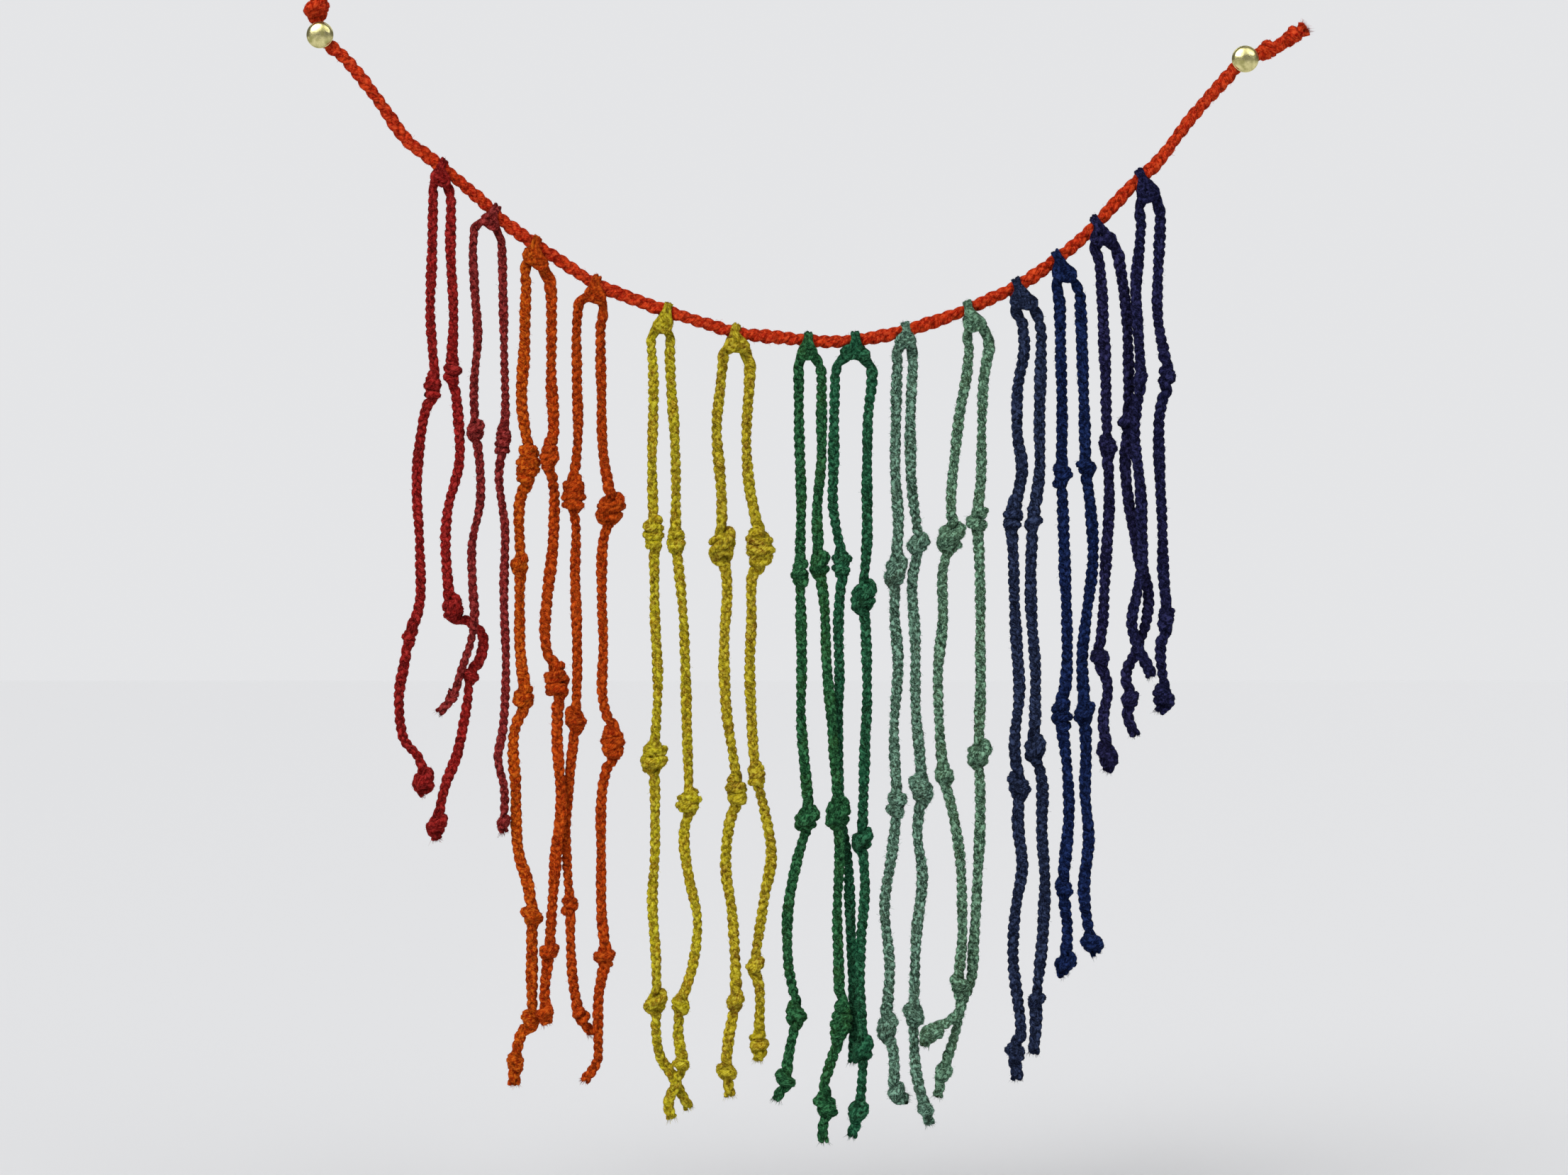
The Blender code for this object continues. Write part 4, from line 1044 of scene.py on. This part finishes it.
# The two pale green pendants: a grey-teal tweed, and a sea green with olive. Their wool is
# hairier than that of the others.
hang(
    "pale_green_pendant_1", seed=61, thick=3.8, fuzz=1.25, hitch=(206.25, -104),
    dyes=dict(
        yarns=((8, 25, 14), (23, 56, 41), (54, 80, 58)), stray=(62, 70, 48), fleck=(148, 194, 170),
        dark_mottle_and_shade=(3, 12, 6), flecks=0.8,
    ),
    left=[
        (203.5, -108.75), (203.5, -116), (203, -132), (202.75, -152.5), (203.75, -172),
        (203, -189, 8, 11.25), (202.5, -205), (203.75, -222.5), (202.25, -245),
        (203.25, -271.5, 8, 7.5), (201.75, -287.5), (199, -306.25), (200.75, -327.5),
        (200, -349.25, 7.5, 9), (202.25, -359.75), (203.25, -372.5, 6.25, 6), (207, -375),
    ],
    right=[
        (209, -108.25), (208.75, -120), (208, -142.5), (208.75, -161), (210.75, -179.25, 8, 6.75),
        (208.75, -192.5), (209.75, -212.5), (210, -237.5), (212, -265.75, 8, 10.25), (210.5, -281),
        (212.25, -296), (210.25, -317), (209.25, -345, 7, 8.5), (209.5, -357.5), (210.5, -368),
        (213.25, -378.25, 5.5, 6), (214.75, -383.75),
    ],
    right_depth=[(-352, LEG_Y), (-368, -7), (-384, -7.2)],
)  # fmt: skip
hang(
    "pale_green_pendant_2", seed=62, thick=3.7, fuzz=1.1, hitch=(229.25, -96.5),
    dyes=dict(
        yarns=((13, 31, 16), (27, 68, 50), (64, 90, 61)), stray=(62, 78, 38),
        fleck=(148, 196, 164), dark_mottle_and_shade=(3, 14, 7), flecks=0.8,
    ),
    left=[
        (227.5, -102.5), (228.75, -110), (228, -119), (225.25, -135), (222.5, -162),
        (222.5, -176.75, 9.5, 10), (219.5, -189), (219.5, -206), (217.75, -227.5),
        (220, -261, 7.25, 8.5), (223.25, -275), (225.75, -292.5), (226.25, -318),
        (225, -334.5, 6.25, 6.25), (225.5, -343.5), (221.5, -347.5), (215.75, -351.25, 6.75, 7.5),
        (213, -356),
    ],
    left_depth=[(-306, LEG_Y), (-322, -7.4), (-346, -7.8), (-351, -8.4), (-357, -8.6)],
    right=[
        (234.25, -102), (236, -110), (234, -121), (233.25, -138), (233, -155),
        (231.75, -170.5, 8.5, 8.25), (232.5, -186), (232.75, -207), (232.75, -230),
        (232.25, -253.5, 8.25, 9.25), (232.75, -271), (231.75, -297.5), (230.5, -320),
        (229.5, -334), (226.5, -341.5), (223.75, -353), (219.75, -366, 5.5, 7), (217.75, -374.5),
    ],
    right_depth=[(-308, LEG_Y), (-326, -2.8), (-350, -2.4), (-364, -3.6), (-374, -2.9)],
)  # fmt: skip

# The two blue pendants: navy with grey-blue flecks, and a brighter royal navy. They are the
# thickest of the pendant cords, and their legs hang nearly straight.
hang(
    "blue_pendant_1", seed=71, thick=4.1, hitch=(246, -88.25),
    dyes=dict(
        yarns=((2, 4, 17), (5, 9, 28), (12, 20, 46)), stray=(22, 28, 48), fleck=(69, 83, 120),
        dark_mottle_and_shade=(1, 1, 7), flecks=0.6,
    ),
    left=[
        (244, -94.5), (247.5, -101.5), (248.25, -111), (246, -124), (245.75, -140), (247.5, -153),
        (244.25, -170, 7.25, 11), (244.5, -189.5), (245.5, -215), (246.5, -232), (244.75, -250),
        (246.25, -264.5, 7.75, 9.25), (246, -278), (247.5, -293), (245.5, -306), (244.25, -326),
        (247, -352), (245, -358.5, 6.75, 6.25), (245.75, -368.25),
    ],
    right=[
        (252.25, -94.5), (254.25, -106), (254, -121), (253.5, -138), (253.75, -153),
        (251.5, -170.5, 5.75, 9), (250.5, -189), (251, -208), (252.25, -226), (252, -240),
        (252, -251.25, 7.5, 9.25), (254.5, -264), (254.5, -282.5), (255.5, -300), (254.5, -320),
        (252.5, -340.25, 5.25, 5), (252.25, -350), (251.5, -359),
    ],
)  # fmt: skip
hang(
    "blue_pendant_2", seed=72, thick=4.1, hitch=(260, -79),
    dyes=dict(
        yarns=((1, 3, 21), (3, 7, 33), (7, 16, 52)), stray=(3, 18, 54), fleck=(45, 66, 123),
        dark_mottle_and_shade=(0, 1, 8), flecks=0.55,
    ),
    left=[
        (259, -84.75), (260.75, -94), (261, -110), (261.5, -126), (261.5, -155, 7.75, 9),
        (262, -172.5), (263, -200), (263.25, -224), (261.5, -239.25, 7.5, 11), (263.25, -257.5),
        (264, -275), (262, -300.5, 6.25, 7.5), (263.5, -315), (262.75, -327, 7.5, 7),
        (262.75, -331.5),
    ],
    right=[
        (265.5, -84.5), (268, -92), (268.5, -108), (269.25, -128), (270, -152.25, 6.5, 5.75),
        (271.75, -168.75), (272.5, -185), (270, -206), (268.75, -220), (269.5, -238.5, 7, 9),
        (270, -255), (269.75, -268), (271, -284), (269.25, -303), (272, -319.5, 7, 7),
        (273.5, -324),
    ],
)  # fmt: skip

# The two indigo pendants, the last and shortest, of wool dyed almost black with paler flecks.
# The first one's right leg and the second one's left leg cross twice.
hang(
    "indigo_pendant_1", seed=81, thick=4.0, hitch=(273.25, -66.75),
    dyes=dict(
        yarns=((3, 3, 18), (5, 6, 27), (13, 13, 43)), stray=(15, 12, 39), fleck=(64, 63, 113),
        dark_mottle_and_shade=(1, 1, 7), flecks=0.55,
    ),
    left=[
        (272.25, -72.5), (274.75, -80), (275.75, -92), (276.25, -104), (277, -123),
        (277.5, -144.75, 6, 8.5), (278.25, -165), (277, -185), (276, -206),
        (274.75, -219.5, 6.5, 6), (277.75, -230), (276, -241.25), (277.5, -253.5, 7, 9),
        (277.5, -259.5),
    ],
    right=[
        (280, -72), (282, -81), (283.75, -92), (284.75, -105), (285.25, -135, 7.25, 7.25),
        (284, -150), (285.75, -167.5), (288.5, -182.5), (292.25, -197), (291.25, -207.5),
        (287.5, -218), (284.25, -225.5), (285.5, -234, 6, 5), (284.5, -239), (287.25, -247),
    ],
    right_depth=[
        (-88, LEG_Y), (-102, -4.2), (-135, -4.2), (-148, -3.4), (-220, -2.6), (-232, LEG_Y),
    ],
)  # fmt: skip
hang(
    "indigo_pendant_2", seed=82, thick=3.9, hitch=(289, -50),
    dyes=dict(
        yarns=((3, 3, 18), (5, 6, 27), (12, 13, 43)), stray=(7, 15, 41), fleck=(60, 61, 111),
        dark_mottle_and_shade=(1, 1, 7), flecks=0.55,
    ),
    left=[
        (288.5, -57.5), (289.5, -66), (288.75, -76), (287.5, -88), (288, -103),
        (288.75, -121.75, 5.5, 6.25), (287.5, -132), (287, -143), (288.75, -158), (289.5, -173),
        (289.75, -185), (287.75, -197), (286, -206.5), (287.75, -215), (291, -221.5), (293, -226),
    ],
    left_depth=[
        (-84, LEG_Y), (-100, -8.8), (-122, -9.6), (-146, -9.6), (-170, -7.6), (-218, -7.4),
        (-226, -6.4),
    ],
    right=[
        (295.25, -55.5), (296.25, -66), (295.25, -88), (295.5, -101), (298.5, -120.75, 7, 8.5),
        (296, -134), (295.75, -148), (296.75, -168), (297.25, -188), (298.25, -206, 6.25, 9.5),
        (296.25, -217), (297.5, -233, 7.5, 8), (295.75, -238.5),
    ],
)  # fmt: skip

# The two pins: a thin brass cap pressed into a dome over the flange of a steel point. The
# brass is polished, with small dents and a little tarnish from handling.
PIN_CAP_WIDTH = 9.5
PIN_CAP_RISE = 2.4
PIN_CAP_BACK_Y = -6.6
PIN_RIM = 0.32
PIN_RECESS_RADIUS = 1.55
PIN_RECESS_DEEP = 0.5
PIN_AXIS_RADIUS = 0.02
CAP_SEGMENTS = 96

brass_finish = Finish("pin_brass", Metallic=1.0)
brass_place = brass_finish.node("TexCoord", {}, {}, "Object")
tarnish = brass_finish.noise(brass_place, 420.0, 4.0)
scuff = brass_finish.noise(brass_place, 2400.0)
brass_finish.give(
    "Base Color",
    brass_finish.mix(tarnish.between(0.42, 0.68) * 0.7, dye(232, 222, 160), dye(140, 138, 70)),
)
brass_finish.give("Roughness", tarnish.between(0.35, 0.75) * 0.22 + scuff * 0.1 + 0.14)
dents = brass_finish.noise(brass_place, 330.0, 1.0) + scuff * 0.12
brass_finish.give("Normal", brass_finish.node(
    "Bump", {}, {"Strength": 0.6, "Distance": 0.0003, "Height": dents}
))  # fmt: skip

steel_finish = Finish("pin_steel", Metallic=1.0)
steel_place = steel_finish.node("TexCoord", {}, {}, "Object")
drawn = steel_finish.noise(steel_place, 1500.0, 3.0)
steel_finish.give("Base Color", steel_finish.mix(drawn, dye(150, 150, 152), dye(186, 186, 188)))
steel_finish.give("Roughness", drawn * 0.2 + 0.28)


def lathe_ring(radius, y, centre):
    angles = turns_of(CAP_SEGMENTS)
    return np.stack([
        centre[0] + radius * np.cos(angles), np.full(CAP_SEGMENTS, y),
        centre[1] + radius * np.sin(angles),
    ], 1)  # fmt: skip


# The cap's outline, as radius and depth: the recess behind, the rolled rim, and the dome.
cap_radius = PIN_CAP_WIDTH / 2
dome_rise = PIN_CAP_RISE - 2 * PIN_RIM
recess_y = PIN_CAP_BACK_Y - PIN_RECESS_DEEP
profile = [
    (PIN_AXIS_RADIUS, recess_y), (PIN_RECESS_RADIUS, recess_y),
    (PIN_RECESS_RADIUS, PIN_CAP_BACK_Y),
]  # fmt: skip
for turn in np.linspace(math.pi / 2, -math.pi / 2, 7):
    profile.append((cap_radius - PIN_RIM + PIN_RIM * math.cos(turn),
                    PIN_CAP_BACK_Y - PIN_RIM + PIN_RIM * math.sin(turn)))  # fmt: skip
for rise in np.linspace(0.04, 1, 18):
    lift = math.radians(90) * rise
    profile.append((max(PIN_AXIS_RADIUS, (cap_radius - 0.9 * PIN_RIM) * math.cos(lift)),
                    PIN_CAP_BACK_Y - 2 * PIN_RIM - dome_rise * math.sin(lift)))  # fmt: skip
for side, place in (("left", LEFT_PIN), ("right", RIGHT_PIN)):
    cap_skin = Skin()
    cap_skin.add_tube(
        np.array([lathe_ring(radius, y, place) for radius, y in profile]),
        np.arange(len(profile)) * 1.0, 1.0, 0.0,
    )  # fmt: skip
    cap = cap_skin.object(side + "_pin_cap_brass", brass_finish.material)
    cap.data.flip_normals()
    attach(cap, "primary")
    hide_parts(side + "_pin_cap")
    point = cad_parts[side + "_pin_point"]
    point.data.materials.clear()
    point.data.materials.append(steel_finish.material)
